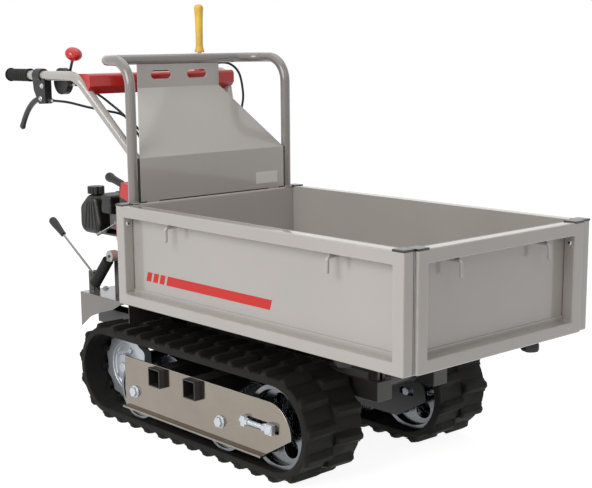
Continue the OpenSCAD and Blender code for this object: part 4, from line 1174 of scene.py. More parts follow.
@dataclass
class Bed:
    """Tipping bed: three drop sides, floor, rear wall, hoop and guard, with dark strips of painted shade
    round the guard, an apron and markings.
    """

    half_w: float = 325
    side_hooks: tuple[float, ...] = (228, 828)
    side_tubes: tuple[float, ...] = (170, 790)
    side_tube_len: float = 240
    front_x: float = 1064
    front_hook_gap: float = 310
    front_tube_gap: float = 360
    front_tube_len: float = 220
    wall_t: float = 28
    wall_sheet: float = 2
    top_rail: float = 32
    foot_rail: float = 30
    rail_in: float = 0.5
    sheet_down: float = 5
    hoop_r: float = 14
    hoop_half: float = 275
    hoop_z: float = 1000
    hoop_back: float = 156
    hoop_bend: float = 70
    guard_half: float = 256
    guard_face: float = 24
    fold_z: float = 741
    strip_x: tuple[float, float] = (15, 23)
    strip_w: float = 7
    sill: float = 4
    apron_x: tuple[float, float] = (3, 6)
    apron_half: float = 297
    apron_z: float = 288
    apron_lap: float = 2
    film: float = 0.4
    film_lap: float = 0.2
    sheet_in: float = 32
    stripe_x: tuple[tuple[float, float], ...] = ((88, 109), (118, 139), (147, 168), (178, 594))
    stripe_z: tuple[float, float] = (420, 445)
    stripe_slant: float = 8
    label_y: tuple[float, float] = (150, 232)
    label_z: tuple[float, float] = (638, 672)

    def build(self) -> None:
        """Make every piece of the bed."""
        self.sides()
        self.wall()
        self.hoop()
        self.trim()
        self.stripe()
        self.label()
        dress_copies({"bed_subframe": (BODY, 1.5), "guard": (BODY, 0.9)})
        low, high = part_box("bed_floor")
        Shape().box(low, high, radius=0.0006).piece("bed_floor_sheet", BODY, "bed", "bed_floor")

    def sides(self) -> None:
        """Make the right, left and front drop sides."""
        low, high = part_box("right_panel")
        for side in Side:
            corner = Vector((low.x, side.value * self.half_w * MM, low.z))
            Panel(side.word, corner, AHEAD, Vector((0, -side.value, 0)), high.x - low.x, self.side_hooks,
                  self.side_tubes, self.side_tube_len).build()
        first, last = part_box("front_panel")
        middle = (last.y - first.y) / 2 / MM
        gaps = (self.front_hook_gap, self.front_tube_gap)
        hooks, tubes = [(middle - gap / 2, middle + gap / 2) for gap in gaps]
        corner = spot(self.front_x, first.y / MM, low.z / MM)
        Panel("front", corner, LEFTWARD, -AHEAD, last.y - first.y, hooks, tubes, self.front_tube_len).build()

    def wall(self) -> None:
        """Make the rear wall: a sheet between a top rail and a foot rail."""
        low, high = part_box("rear_wall")
        face = high.x - self.wall_sheet * MM
        shape = Shape()
        rail = Vector((low.x, low.y, high.z - self.top_rail * MM))
        shape.box(rail, Vector((high.x - self.rail_in * MM, high.y, high.z)), radius=0.004)
        head = Vector((high.x, high.y, high.z - self.sheet_down * MM))
        shape.box(Vector((face, low.y, low.z)), head, radius=0.0006)
        shape.box(low, Vector((face, high.y, low.z + self.foot_rail * MM)), radius=0.004)
        shape.piece("rear_wall_sheet", BODY, "bed", "rear_wall")

    def hoop(self) -> None:
        """Make the hoop that stands on the rear wall, with a weld round each foot."""
        foot_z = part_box("rear_wall")[1].z / MM
        x, y, r = self.wall_t / 2, self.hoop_half, self.hoop_r
        back = x - self.hoop_back
        corners = [spot(x, -y, foot_z), spot(x, -y, self.hoop_z), spot(back, -y, self.hoop_z),
                   spot(back, y, self.hoop_z), spot(x, y, self.hoop_z), spot(x, y, foot_z)]
        # The hoop tube takes the darker paint: painted shade.
        shape = Shape().tube(bent_path(corners, self.hoop_bend * MM), r * MM, HOOP_PAINTED_SHADE, 36)
        weld = [(r - 1, 0), (r + 3.4, 0), (r + 2.6, 1.6), (r + 0.8, 3.2), (r - 1, 3.6)]
        for side in Side:
            shape.lathe(weld, spot(x, side.value * y, foot_z), UP)
        shape.piece("hoop_tube", HOOP_PAINTED_SHADE, "bed", "hoop")

    def trim(self) -> None:
        """Make the dark strips round the guard's foot, a painted shade of the gap there, and the apron under
        the bed's rear end.
        """
        low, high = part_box("rear_wall")
        foot_z = high.z / MM
        half, (rear, front) = self.guard_half, self.strip_x
        shape = Shape()
        # Dark strips along the guard's foot and sides: painted shade of the gap between guard and hoop.
        shape.box(spot(front - self.sill, -half, foot_z), spot(front, half, foot_z + self.sill), radius=0.0)
        for side in Side:
            shape.box(spot(rear, side.value * half, foot_z),
                      spot(front, side.value * (half + self.strip_w), self.fold_z), radius=0.0)
        shape.box(spot(self.apron_x[0], -self.apron_half, self.apron_z),
                  spot(self.apron_x[1], self.apron_half, low.z / MM + self.apron_lap), radius=0.0)
        shape.piece("guard_trim", FRAME, "bed")

    def stripe(self) -> None:
        """Lay the plain red stripe and its blocks on the right side's sheet."""
        face = self.sheet_in - self.half_w - self.film
        foot, head = self.stripe_z
        shape = Shape()
        for x0, x1 in self.stripe_x:
            corners = [spot(x0, face, foot), spot(x1, face, foot),
                       spot(x1 + self.stripe_slant, face, head), spot(x0 + self.stripe_slant, face, head)]
            shape.prism(corners, LEFTWARD * (self.film + self.film_lap) * MM, radius=0.0)
        shape.piece("side_stripe", STRIPE, "right_side")

    def label(self) -> None:
        """Lay the blank plate on the guard."""
        (y0, y1), (z0, z1) = self.label_y, self.label_z
        first = spot(self.guard_face - self.film_lap, y0, z0)
        second = spot(self.guard_face + self.film, y1, z1)
        Shape().box(first, second, radius=0.0).piece("blank_label", PLATE_FILM, "bed")


@dataclass
class Tracks:
    """Rubber tracks with lugs and guide horns, side plates, tensioners and wheels."""

    sprocket_x: float = -90
    idler_x: float = 625
    axle_z: float = 138
    pitch_r: float = 113
    half_t: float = 7
    crust: float = 6
    inner_y: float = 140
    outer_y: float = 320
    lug_count: int = 33
    lug_h: float = 18
    horn_h: float = 14
    horn_ys: tuple[float, ...] = (215, 255)
    screw_y: float = 324.8
    thread_back: float = 77
    thread_r: float = 5.9
    thread_len: float = 52
    thread_turns: float = 26.0
    ridge_r: float = 0.7

    @property
    def around(self) -> float:
        """Length of the loop at its pitch line."""
        return 2 * (self.idler_x - self.sprocket_x + math.pi * self.pitch_r)

    def build(self) -> None:
        """Make both tracks, then what they run on."""
        for side in Side:
            self.track(side)
        for side in Side:
            word = side.word
            # Idlers and rollers take the darker zinc: painted shade.
            dress_copies({f"{word}_side_plate": (PLATE, 0.9), f"{word}_sprocket": (ZINC, 1.2),
                          f"{word}_idler": (WHEEL_PAINTED_SHADE, 1.2), f"{word}_rear_roller": (WHEEL_PAINTED_SHADE, 1.5),
                          f"{word}_front_roller": (WHEEL_PAINTED_SHADE, 1.5)})
        dress_copies({"undercarriage": (FRAME, 0.8), "wheel_axles": (ZINC, 0.8), "tensioners": (ZINC, 1.0)})
        self.threads()

    def loop_point(self, s: float, r: float) -> tuple[float, float]:
        """Point of the loop in the x-z plane.

        Args:
            s: Way along the pitch line from the bottom of the sprocket.
            r: Distance from the axles.

        Returns:
            The point's x and z in millimetres.
        """
        base = self.idler_x - self.sprocket_x
        turn = math.pi * self.pitch_r
        s %= self.around
        if s < base:
            return self.sprocket_x + s, self.axle_z - r
        if s < base + turn:
            a = (s - base) / self.pitch_r
            return self.idler_x + r * math.sin(a), self.axle_z - r * math.cos(a)
        if s < 2 * base + turn:
            return self.idler_x - (s - base - turn), self.axle_z + r
        a = (s - 2 * base - turn) / self.pitch_r
        return self.sprocket_x - r * math.sin(a), self.axle_z + r * math.cos(a)

    def loop(self, y: float, r: float, start: float, steps: int) -> list[Vector]:
        """Points round the loop, forward along its top, from a start on its bottom run."""
        places = [self.loop_point(start - self.around * k / steps, r) for k in range(steps)]
        return [spot(x, y, z) for x, z in places]

    def track(self, side: Side) -> None:
        """Make one track: belt, two staggered rows of lugs and two rows of guide horns.

        Args:
            side: Side of the machine that it runs on.
        """
        shape = Shape()
        self.belt(shape, side)
        pitch = self.around / self.lug_count
        middle = (self.inner_y + self.outer_y) / 2
        half = (self.outer_y - self.inner_y) / 2
        rows = [(middle - half / 2, 0.5, self.lug(half, -side.value)),
                (middle + half / 2, 1.0, self.lug(half, side.value))]
        rows += [(y, 0.5, self.horn()) for y in self.horn_ys]
        for y, phase, block in rows:
            path = path_curve(self.loop(side.value * y, self.pitch_r, phase * pitch, 480), cyclic=True)
            shape.merge(grown(block_tree(), path, Block=block, Count=self.lug_count, Finish=TREAD.material()))
            bpy.data.objects.remove(block)
        shape.piece(f"{side.word}_track_belt", TREAD, "chassis", f"{side.word}_track")

    def belt(self, shape: Shape, side: Side) -> None:
        """Add the belt with its thickened, rounded edges.

        Args:
            shape: Shape that takes the belt.
            side: Side of the machine that it runs on.
        """
        t, out = self.half_t, self.half_t + self.crust
        near = [(self.inner_y + dy, r) for dy, r in
                ((5, out), (1.5, out - 2), (0, out - 6), (0, 4 - t), (1, 1 - t), (3, -t))]
        far = [(self.inner_y + self.outer_y - y, r) for y, r in reversed(near)]
        section = near + [(self.inner_y + 12, -t), (self.outer_y - 12, -t)] + far
        section += [(self.outer_y - 14, out - 1.5), (self.inner_y + 14, out - 1.5)]
        columns = [self.loop(side.value * y, self.pitch_r + r, 0, 132) for y, r in section]
        shape.loft([list(ring) for ring in zip(*columns)], loop=True)

    def lug(self, width: float, outward: int) -> bpy.types.Object:
        """Make a lug: a wedge bar with chamfered crown, sloped ends and a slight sweep back.

        Args:
            width: Width of a row of lugs.
            outward: Sign of y towards the track's outer edge.

        Returns:
            The lug, with x along the track and z away from the belt.
        """
        low, crown = self.half_t + self.crust - 2, self.half_t + self.lug_h
        stations = [(-0.5, 0.80, -5, 0.0), (-0.44, 1.0, 0, 1.0), (0.32, 1.0, 0, 3.0), (0.45, 0.9, -1.5, 5.0),
                    (0.5, 0.6, -4.5, 7.0)]
        rings = []
        for place, swell, drop, back in stations:
            top = crown + drop
            rise = top - low
            flank = [(18, low), (15 * swell, low + 0.3 * rise), (9.5 * swell, low + 0.8 * rise),
                     (6.5 * swell, top)]
            bar = [(-x, z) for x, z in flank] + flank[::-1]
            rings.append([Vector((x + back, place * width * outward, z)) * MM for x, z in bar])
        return Shape().loft(rings).loose("lug")

    def horn(self) -> bpy.types.Object:
        """Make a guide horn.

        Returns:
            The horn, which stands on the belt's inner face.
        """
        root, tip = 2 - self.half_t, -self.half_t - self.horn_h
        rings = [[Vector((x, y, z)) * MM for x, z in ((-13, root), (-7 * k, tip), (7 * k, tip), (13, root))]
                 for y, k in ((-5, 0.8), (-3, 1.0), (3, 1.0), (5, 0.8))]
        return Shape().loft(rings).loose("horn")

    def threads(self) -> None:
        """Wind the thread on both tensioner screws, with its crests standing proud."""
        shape = Shape()
        for side in Side:
            start = spot(self.idler_x - self.thread_back, side.value * self.screw_y, self.axle_z)
            host = bpy.data.meshes.new("host")
            shape.merge(grown(thread_tree(), host, Radius=self.thread_r * MM, Ridge=self.ridge_r * MM,
                              Turns=self.thread_turns, Length=self.thread_len * MM, Start=start,
                              Finish=ZINC.material()))
        shape.piece("tensioner_threads", ZINC, "chassis")


@dataclass
class Chassis:
    """Rails, gearbox, hinge pins, engine plate, clamp knobs and the shields between the tracks."""

    deck_z: float = 303
    deck_t: float = 3
    bolt_x: tuple[float, float] = (-395, -50)
    bolt_y: tuple[float, float] = (-110, 110)
    bolt_size: float = 13
    shield_x: tuple[float, float] = (60, 420)
    shield_y: tuple[float, float] = (125.2, 128.2)
    shield_z: tuple[float, float] = (240, 316)
    lobes: int = 5
    lobe_swell: float = 0.045
    screw_r: float = 6
    clamp_at: dict[str, tuple[float, float]] = field(default_factory=lambda: {
        "right": (790, -240), "left": (790, 240), "front": (1000, 180)})

    def build(self) -> None:
        """Make the pieces between and behind the tracks."""
        dress_copies({"chassis_frame": (FRAME, 2.0), "gearbox": (FRAME, 3.0), "tip_pins": (ZINC, 1.0)})
        self.clamps()
        self.deck()
        self.shields()

    def clamps(self) -> None:
        """Make the three clamps: a screw with a soft, lobed knob."""
        profile = [(0, 310), (14, 310), (20, 312.5), (22, 317), (22, 326), (20, 330.5), (14, 332),
                   (self.screw_r, 332.4), (self.screw_r, 351), (0, 351)]
        for word, (x, y) in self.clamp_at.items():
            rings = []
            for r, h in profile:
                swell = self.lobe_swell if r > self.screw_r else 0.0
                reach = [(r * (1 + swell * math.cos(self.lobes * a)), a) for a in turns(60)]
                rings.append([spot(x + wide * math.cos(a), y + wide * math.sin(a), h) for wide, a in reach])
            node = f"{word}_clamp"
            Shape().loft(rings).piece(f"{node}_knob", BLACK, BODY_OF[node], node)

    def deck(self) -> None:
        """Make the engine plate, the posts on it and its bolts."""
        plate = Shape().copy("engine_plate", 0.001)
        posts = plate.split((self.deck_z + self.deck_t) * MM)
        # The engine plate takes the darker paint: painted shade.
        plate.piece("engine_plate_sheet", PLATE_PAINTED_SHADE, "chassis", "engine_plate")
        posts.piece("engine_plate_posts", FRAME, "chassis")
        seats = [spot(x, y, self.deck_z) for x in self.bolt_x for y in self.bolt_y]
        bolts = Shape().bolts(self.bolt_size * MM, [(seat, UP) for seat in seats], ZINC)
        bolts.piece("deck_bolts", ZINC, "chassis")

    def shields(self) -> None:
        """Make the thin dark shields beside the rails."""
        (x0, x1), (y0, y1), (z0, z1) = self.shield_x, self.shield_y, self.shield_z
        shape = Shape()
        for side in Side:
            shape.box(spot(x0, side.value * y0, z0), spot(x1, side.value * y1, z1), radius=0.001)
        shape.piece("chassis_shields", FRAME, "chassis")


@dataclass
class Engine:
    """Engine with its tank, filter, starter, muffler and belt guard."""

    tank_x: tuple[float, float] = (-503, -395)
    tank_y: tuple[float, float] = (-126, 94)
    tank_z: tuple[float, float] = (470, 590)
    tank_round: float = 14
    rib_x: tuple[float, ...] = (-474, -454, -434, -414)
    rib_half: float = 4.5
    rib_out: float = 2
    rib_deep: float = 12
    rib_ends: tuple[float, float] = (16, 20)
    rib_lean: float = 0.45
    rib_middle: float = -440
    seam_y: float = -16
    cap_at: tuple[float, float] = (-450, -96)
    neck_sink: float = 8
    starter_seat: Triple = (-264, -134, 643)
    starter_lean: float = -14
    rope_r: float = 2.5
    rope_reach: tuple[float, float] = (27, 128)
    cover_at: Triple = (-180, -142, 500)
    cover_bolt_r: float = 91
    cover_bolts: int = 6
    cover_turn: float = 15
    guard_y: float = 152
    guard_screws: Profile = field(default_factory=lambda: [
        (-245, 500), (-115, 500), (-180, 565), (-200, 330), (-110, 330)])
    screw_size: float = 9

    def build(self) -> None:
        """Make every piece of the engine."""
        dress_copies({"engine_block": (CAST, 1.0), "engine_shroud": (BLACK, 4.0), "starter_cover": (RED, 2.5),
                      "muffler": (EXHAUST, 3.0), "belt_guard": (FRAME, 4.0),
                      "fuel_cap": (BLACK, 1.5), "choke_lever": (ROD, 0.6)})
        self.tank()
        self.filter_box()
        self.pull_handle()
        self.screws()

    def outline(self, inset: float) -> Profile:
        """Outline of the tank's end, drawn tight round five discs.

        Args:
            inset: How far it is drawn in.

        Returns:
            The x and z of its points.
        """
        (x0, x1), (z0, z1) = self.tank_x, self.tank_z
        discs = [(x0 + 31, z0 + 31, 31), (x1 - 31, z0 + 31, 31), (x0 + 28, z1 - 50, 28),
                 (x0 + 54, z1 - 25, 25), (x1 - 42, z1 - 25, 25)]
        points = []
        for a in turns(96):
            way = (math.cos(a), math.sin(a))
            x, z, r = max(discs, key=lambda disc: disc[0] * way[0] + disc[1] * way[1] + disc[2])
            points.append((x + (r - inset) * way[0], z + (r - inset) * way[1]))
        return points

    def tank(self) -> None:
        """Make the blow-moulded tank with its ribs, seam and filler neck."""
        shape = Shape()
        (y0, y1), (z0, z1) = self.tank_y, self.tank_z
        angles = [math.pi / 2 * k / 5 for k in range(6)]
        ends = [(self.tank_round * (1 - math.sin(a)), self.tank_round * (1 - math.cos(a))) for a in angles]
        stations = [(y0 + d, i) for i, d in ends] + [(y1 - d, i) for i, d in reversed(ends)]
        seam = [(self.seam_y + dy, inset) for dy, inset in ((-4, 1), (-3, -2), (3, -2), (4, 1))]
        for rows in (stations, seam):
            shape.loft([[spot(x, y, z) for x, z in self.outline(inset)] for y, inset in rows])
        face, low, high = y0 - self.rib_out, z0 + self.rib_ends[0], z1 - self.rib_ends[1]
        for x in self.rib_x:
            lean = self.rib_lean * (x - self.rib_middle)
            foot = [spot(x + dx, face, low) for dx in (-self.rib_half, self.rib_half)]
            head = [spot(x - lean + dx, face, high) for dx in (self.rib_half, -self.rib_half)]
            shape.prism(foot + head, LEFTWARD * self.rib_deep * MM, radius=0.002)
        neck = [(19, 0), (19, 4), (16, 6), (16, 18), (0, 18)]
        shape.lathe(neck, spot(*self.cap_at, z1 - self.neck_sink), UP)
        shape.piece("fuel_tank_shell", TANK, "chassis", "fuel_tank")

    def filter_box(self) -> None:
        """Make the air filter box with its lid line and knob."""
        low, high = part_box("air_filter")
        lid = low.z + 0.6 * (high.z - low.z)
        gap, inset = 0.001, Vector((0.002, 0.002, 0.01))
        shape = Shape()
        shape.box(low, Vector((high.x, high.y, lid - gap)), radius=0.009)
        shape.box(low + inset, high - inset, radius=0.006)
        shape.box(Vector((low.x, low.y, lid + gap)), high, radius=0.009)
        middle = Vector(((low.x + high.x) / 2, (low.y + high.y) / 2, high.z - 0.004))
        shape.lathe([(9, 0), (9, 3), (7, 4), (0, 4)], middle, UP)
        shape.piece("air_filter_box", BLACK, "chassis", "air_filter")

    def pull_handle(self) -> None:
        """Make the starter handle, with its swollen end, waist and ferrule, and the rope that it pulls."""
        seat, into = spot(*self.starter_seat), leaning(self.starter_lean)
        profile = [(0, -60), (9, -60), (12.5, -57.5), (14, -53), (14, -44), (12, -37), (11, -20), (11, 12),
                   (9.5, 18), (6.5, 22), (6.5, 29), (0, 29)]
        Shape().lathe(profile, seat, into).piece("starter_pull", BLACK, "starter", "starter_handle")
        (start, stop), r = self.rope_reach, self.rope_r
        rope = Shape().lathe([(0, start), (r, start), (r, stop), (0, stop)], seat, into, 14)
        rope.piece("starter_rope", SHEATH, "starter")

    def screws(self) -> None:
        """Set screws round the starter cover and on the belt guard."""
        x, y, z = self.cover_at
        spots = []
        for k in range(self.cover_bolts):
            a = math.radians(360 / self.cover_bolts * k + self.cover_turn)
            seat = spot(x + self.cover_bolt_r * math.cos(a), y, z + self.cover_bolt_r * math.sin(a))
            spots.append((seat, -LEFTWARD))
        spots += [(spot(x, self.guard_y, z), LEFTWARD) for x, z in self.guard_screws]
        Shape().bolts(self.screw_size * MM, spots, ZINC).piece("engine_screws", ZINC, "chassis")


@dataclass
class Handlebar:
    """Handlebar arms, grips, lever brackets, levers and control cables."""

    grip_y: float = 268
    grip_z: float = 955
    grip_x: tuple[float, float] = (-636, -511)
    bar_r: float = 14
    bar_in: float = 8
    bend: float = 60
    bend_x: float = -258
    knee_z: float = 640
    foot: tuple[float, float] = (-48, 148)
    foot_half: tuple[float, float] = (24, 34)
    foot_z: tuple[float, float] = (303, 309.5)
    bar_sink: float = 0.5
    weld_sink: float = 0.3
    pivot: tuple[float, float] = (-440, 888)
    clamp_screw: tuple[float, float] = (-430, 925)
    bracket_half: float = 12
    screw_size: float = 9
    lever_reach: tuple[float, float] = (-139, -96)
    lever_bulge: tuple[float, float] = (-87, 4)
    lever_half: float = 3.9
    throttle_at: Triple = (-372, -226.7, 939)
    throttle_lean: float = 65
    throttle_arm: float = 85
    knob_r: float = 25
    knob_half: float = 18
    clutch_at: Triple = (-235, 152, 1016)
    gear_at: Triple = (-395, -150, 352)
    gear_lean: float = 148
    gear_arm: float = 198
    latch_at: Triple = (-255, -180, 430)
    latch_lean: float = -133
    latch_arm: float = 19
    latch_ribs: int = 33
    panel_reach: float = 12
    panel_ends: float = 200
    cable_r: float = 3.5
    steer_route: tuple[Triple, ...] = (
        (-398, 268, 883), (-382, 268, 883), (-320, 260, 880), (-266, 230, 867), (-231, 190, 856),
        (-197, 150, 839), (-150, 118, 780), (-110, 95, 690), (-86, 80, 560), (-74, 72, 420), (-70, 70, 304))
    throttle_route: tuple[Triple, ...] = (
        (-322, -240, 930), (-308, -238, 929), (-282, -215, 918), (-240, -203, 898), (-198, -200, 879),
        (-150, -180, 840), (-120, -150, 775), (-150, -105, 705), (-200, -40, 686), (-212, -2, 672),
        (-212, 0, 651))
    clutch_route: tuple[Triple, ...] = (
        (-224, 170, 970), (-200, 198, 984), (-165, 214, 980), (-127, 216, 954), (-107, 213, 904),
        (-99, 204, 863), (-92, 170, 780), (-82, 120, 640), (-75, 100, 480), (-70, 96, 304))

    def build(self) -> None:
        """Make every piece of the handlebar."""
        dress_copies({"lever_brackets": (BLACK, 2.0), "throttle_base": (BLACK, 4.0),
                      "throttle_lever": (FRAME, 1.0), "clutch_lever": (ZINC, 0.8), "gear_lever": (ROD, 0.6),
                      "latch_lever": (BODY, 2.0)})
        self.cross_panel()
        self.arms()
        self.hand_grips()
        for side in Side:
            self.steer_lever(side)
        self.throttle_knob()
        self.clutch_grip()
        self.gear_grip()
        self.latch_grip()
        self.cables()
        self.screws()

    def cross_panel(self) -> None:
        """Make the red panel across the arms, with its ends drawn out to meet them."""
        panel = Shape().copy("control_panel", 0.0008)
        for vert in panel.bm.verts:
            if abs(vert.co.y) > self.panel_ends * MM:
                vert.co.y += math.copysign(self.panel_reach * MM, vert.co.y)
        panel.piece("control_panel_piece", RED, "chassis", "control_panel")

    def arms(self) -> None:
        """Make the two bent arms with their foot plates and welds."""
        shape = Shape()
        (x, y), (half_x, half_y), (low, high) = self.foot, self.foot_half, self.foot_z
        weld = [(13, 0), (18.5, 0), (17.5, 2), (15, 4.5), (13, 5)]
        for side in Side:
            s = side.value
            corners = [spot(self.grip_x[0] + self.bar_in, s * self.grip_y, self.grip_z),
                       spot(self.bend_x, s * self.grip_y, self.grip_z), spot(x, s * y, self.knee_z),
                       spot(x, s * y, high - self.bar_sink)]
            shape.tube(bent_path(corners, self.bend * MM), self.bar_r * MM, BODY, 36)
            shape.box(spot(x - half_x, s * (y - half_y), low), spot(x + half_x, s * (y + half_y), high),
                      radius=0.0015)
            shape.lathe(weld, spot(x, s * y, high - self.weld_sink), UP)
        shape.piece("handlebar_arms", BODY, "chassis", "handlebar")

    def hand_grips(self) -> None:
        """Make the grips with slanted ribs and a collar at each end."""
        shape = Shape()
        start, stop = self.grip_x
        length, steps = stop - start, 110
        ways = [(Vector((0, math.cos(a), math.sin(a))), a) for a in turns(36)]
        for side in Side:
            rings = []
            for i in range(steps + 1):
                h = length * i / steps
                middle = spot(start + h, side.value * self.grip_y, self.grip_z)
                rings.append([middle + way * self.grip_radius(h, length, a) * MM for way, a in ways])
            shape.loft(rings)
        shape.piece("hand_grip_sleeves", GRIP, "chassis", "hand_grips")

    @staticmethod
    def grip_radius(h: float, length: float, a: float) -> float:
        """Radius of a grip.

        Args:
            h: Height from the grip's free end.
            length: Length of the grip.
            a: Turn round the grip.

        Returns:
            The radius in millimetres.
        """
        bead, collar = 9, 8
        if h < bead:
            return 20.5 * math.sqrt(max(0.0, 1 - (1 - h / bead) ** 2 * 0.55))
        if h > length - collar:
            return 19.5 if h < length - 1.5 else 18.5
        wave = 0.5 + 0.5 * math.sin(math.tau * h / 12.4 + 1.5 * math.sin(a))
        ease = min(1.0, (h - bead) / 8, (length - collar - h) / 8)
        finger = 0.7 * max(0.0, -math.sin(a))
        return 16.6 + ease * (1.7 + finger) * wave ** 1.5

    def steer_lever(self, side: Side) -> None:
        """Make a curved lever that hangs behind its pivot and ends in a ball.

        Args:
            side: Side of the machine that it is on.
        """
        reach, bulge = Vector(self.lever_reach), Vector(self.lever_bulge)
        x, z = self.pivot
        path = []
        for t in (k / 36 for k in range(37)):
            p = 2 * t * (1 - t) * bulge + t * t * reach
            path.append(spot(x + p.x, side.value * self.grip_y, z + p.y))

        def section(share: float) -> Ring:
            """Oval section, thicker towards the ball.

            Args:
                share: Share of the lever's length.

            Returns:
                The section's ring.
            """
            ball = 1.12 * math.sqrt(max(0.02, 1 - ((share - 0.955) / 0.046) ** 2)) if share > 0.93 else 1.0
            thick = (self.lever_half + 3.2 * max(0.0, min(1.0, (share - 0.15) / 0.18))) * ball
            wide = (8.6 - 0.6 * math.sin(math.pi * share)) * ball
            ways = [(math.cos(a), math.sin(a)) for a in turns(20)]
            oval = [(math.copysign(abs(c) ** 0.7, c), math.copysign(abs(d) ** 0.8, d)) for c, d in ways]
            return [Vector((thick * p, wide * q, 0)) * MM for p, q in oval]

        shape = Shape().sweep(path, section, LEFTWARD)
        hub = spot(x, side.value * self.grip_y - self.lever_half, z)
        shape.lathe([(4.2, 0), (8.4, 0), (9, 0.7), (9, 7.1), (8.4, 7.8), (4.2, 7.8)], hub, LEFTWARD)
        node = f"{side.word}_steer_lever"
        shape.piece(f"{node}_arm", FRAME, BODY_OF[node], node)

    def throttle_knob(self) -> None:
        """Make the throttle lever's oval knob with its collar."""
        way = leaning(self.throttle_lean)
        middle = spot(*self.throttle_at) + way * self.throttle_arm * MM
        angles = [math.pi * k / 24 for k in range(25)]
        oval = [(self.knob_r * math.sin(a) ** 0.85, -self.knob_half * math.cos(a)) for a in angles]
        shape = Shape().lathe([(max(r, 0.0), h) for r, h in oval], middle, way)
        shape.lathe([(0, -21), (6.4, -21), (7.4, -17), (7.4, -13), (0, -13)], middle, way)
        shape.piece("throttle_oval_knob", KNOB_RED, "throttle", "throttle_knob")

    def clutch_grip(self) -> None:
        """Make the clutch lever's dipped grip with its collar and round head."""
        profile = [(6.2, 0), (14.4, 0), (15, 0.8), (15, 5), (13.2, 9), (11.4, 15), (10.8, 24), (11.2, 60),
                   (12, 102), (13.4, 122)]
        profile += [(3 + r, 130 + h) for r, h in quarter_arc(11, 8)]
        profile += [(0, 141.6), (0, 129), (6.2, 129)]
        shape = Shape().lathe(profile, spot(*self.clutch_at), UP)
        shape.piece("clutch_grip_sleeve", YELLOW, "clutch", "clutch_grip")

    def gear_grip(self) -> None:
        """Make the gear lever's tapered grip with its round head."""
        way = leaning(self.gear_lean)
        profile = [(3.7, 0), (8.4, 0), (9, 0.8), (9.4, 12), (12.8, 54)]
        profile += [(max(r, 0.0), 69 + h) for r, h in quarter_arc(13, 10)]
        profile += [(0, 64), (3.7, 64)]
        shape = Shape().lathe(profile, spot(*self.gear_at) + way * self.gear_arm * MM, way)
        shape.piece("gear_grip_knob", BLACK, "gear", "gear_grip")

    def latch_grip(self) -> None:
        """Make the latch lever's thick ribbed grip."""
        way = leaning(self.latch_lean)
        ribs = [(16.4 + 0.5 * (k % 2), 6 + 100 * k / (self.latch_ribs - 1)) for k in range(self.latch_ribs)]
        profile = [(6.2, 0), (15.4, 0), (17, 2), (17, 5)] + ribs
        profile += [(17, 107), (16.6, 109.5), (14.5, 112), (0, 112), (0, 105), (6.2, 105)]
        shape = Shape().lathe(profile, spot(*self.latch_at) + way * self.latch_arm * MM, way)
        shape.piece("latch_grip_sleeve", GRIP, "latch", "latch_grip")

    def cables(self) -> None:
        """Make the control cables and the ferrules at their ends."""
        sheaths, ferrules = Shape(), Shape()
        profile = [(3.4, 0), (4.6, 0), (4.9, 0.6), (4.9, 11), (4.2, 12.5), (3.4, 12.5)]
        routes = [[(x, side.value * y, z) for x, y, z in self.steer_route] for side in Side]
        for route in (*routes, self.throttle_route, self.clutch_route):
            path = smooth_route([spot(*place) for place in route])
            sheaths.tube(path, self.cable_r * MM, SHEATH, 14)
            for here, there in ((path[0], path[1]), (path[-1], path[-2])):
                ferrules.lathe(profile, here, (there - here).normalized(), 18)
        sheaths.piece("control_cable_sheaths", SHEATH, "chassis", "control_cables")
        ferrules.piece("cable_ferrules", ZINC, "chassis")

    def screws(self) -> None:
        """Set the pivot screws and the clamp screws of the lever brackets."""
        spots = [(spot(x, side.value * (self.grip_y + self.bracket_half), z), LEFTWARD * side.value)
                 for side in Side for x, z in (self.pivot, self.clamp_screw)]
        Shape().bolts(self.screw_size * MM, spots, ZINC).piece("bracket_screws", ZINC, "chassis")


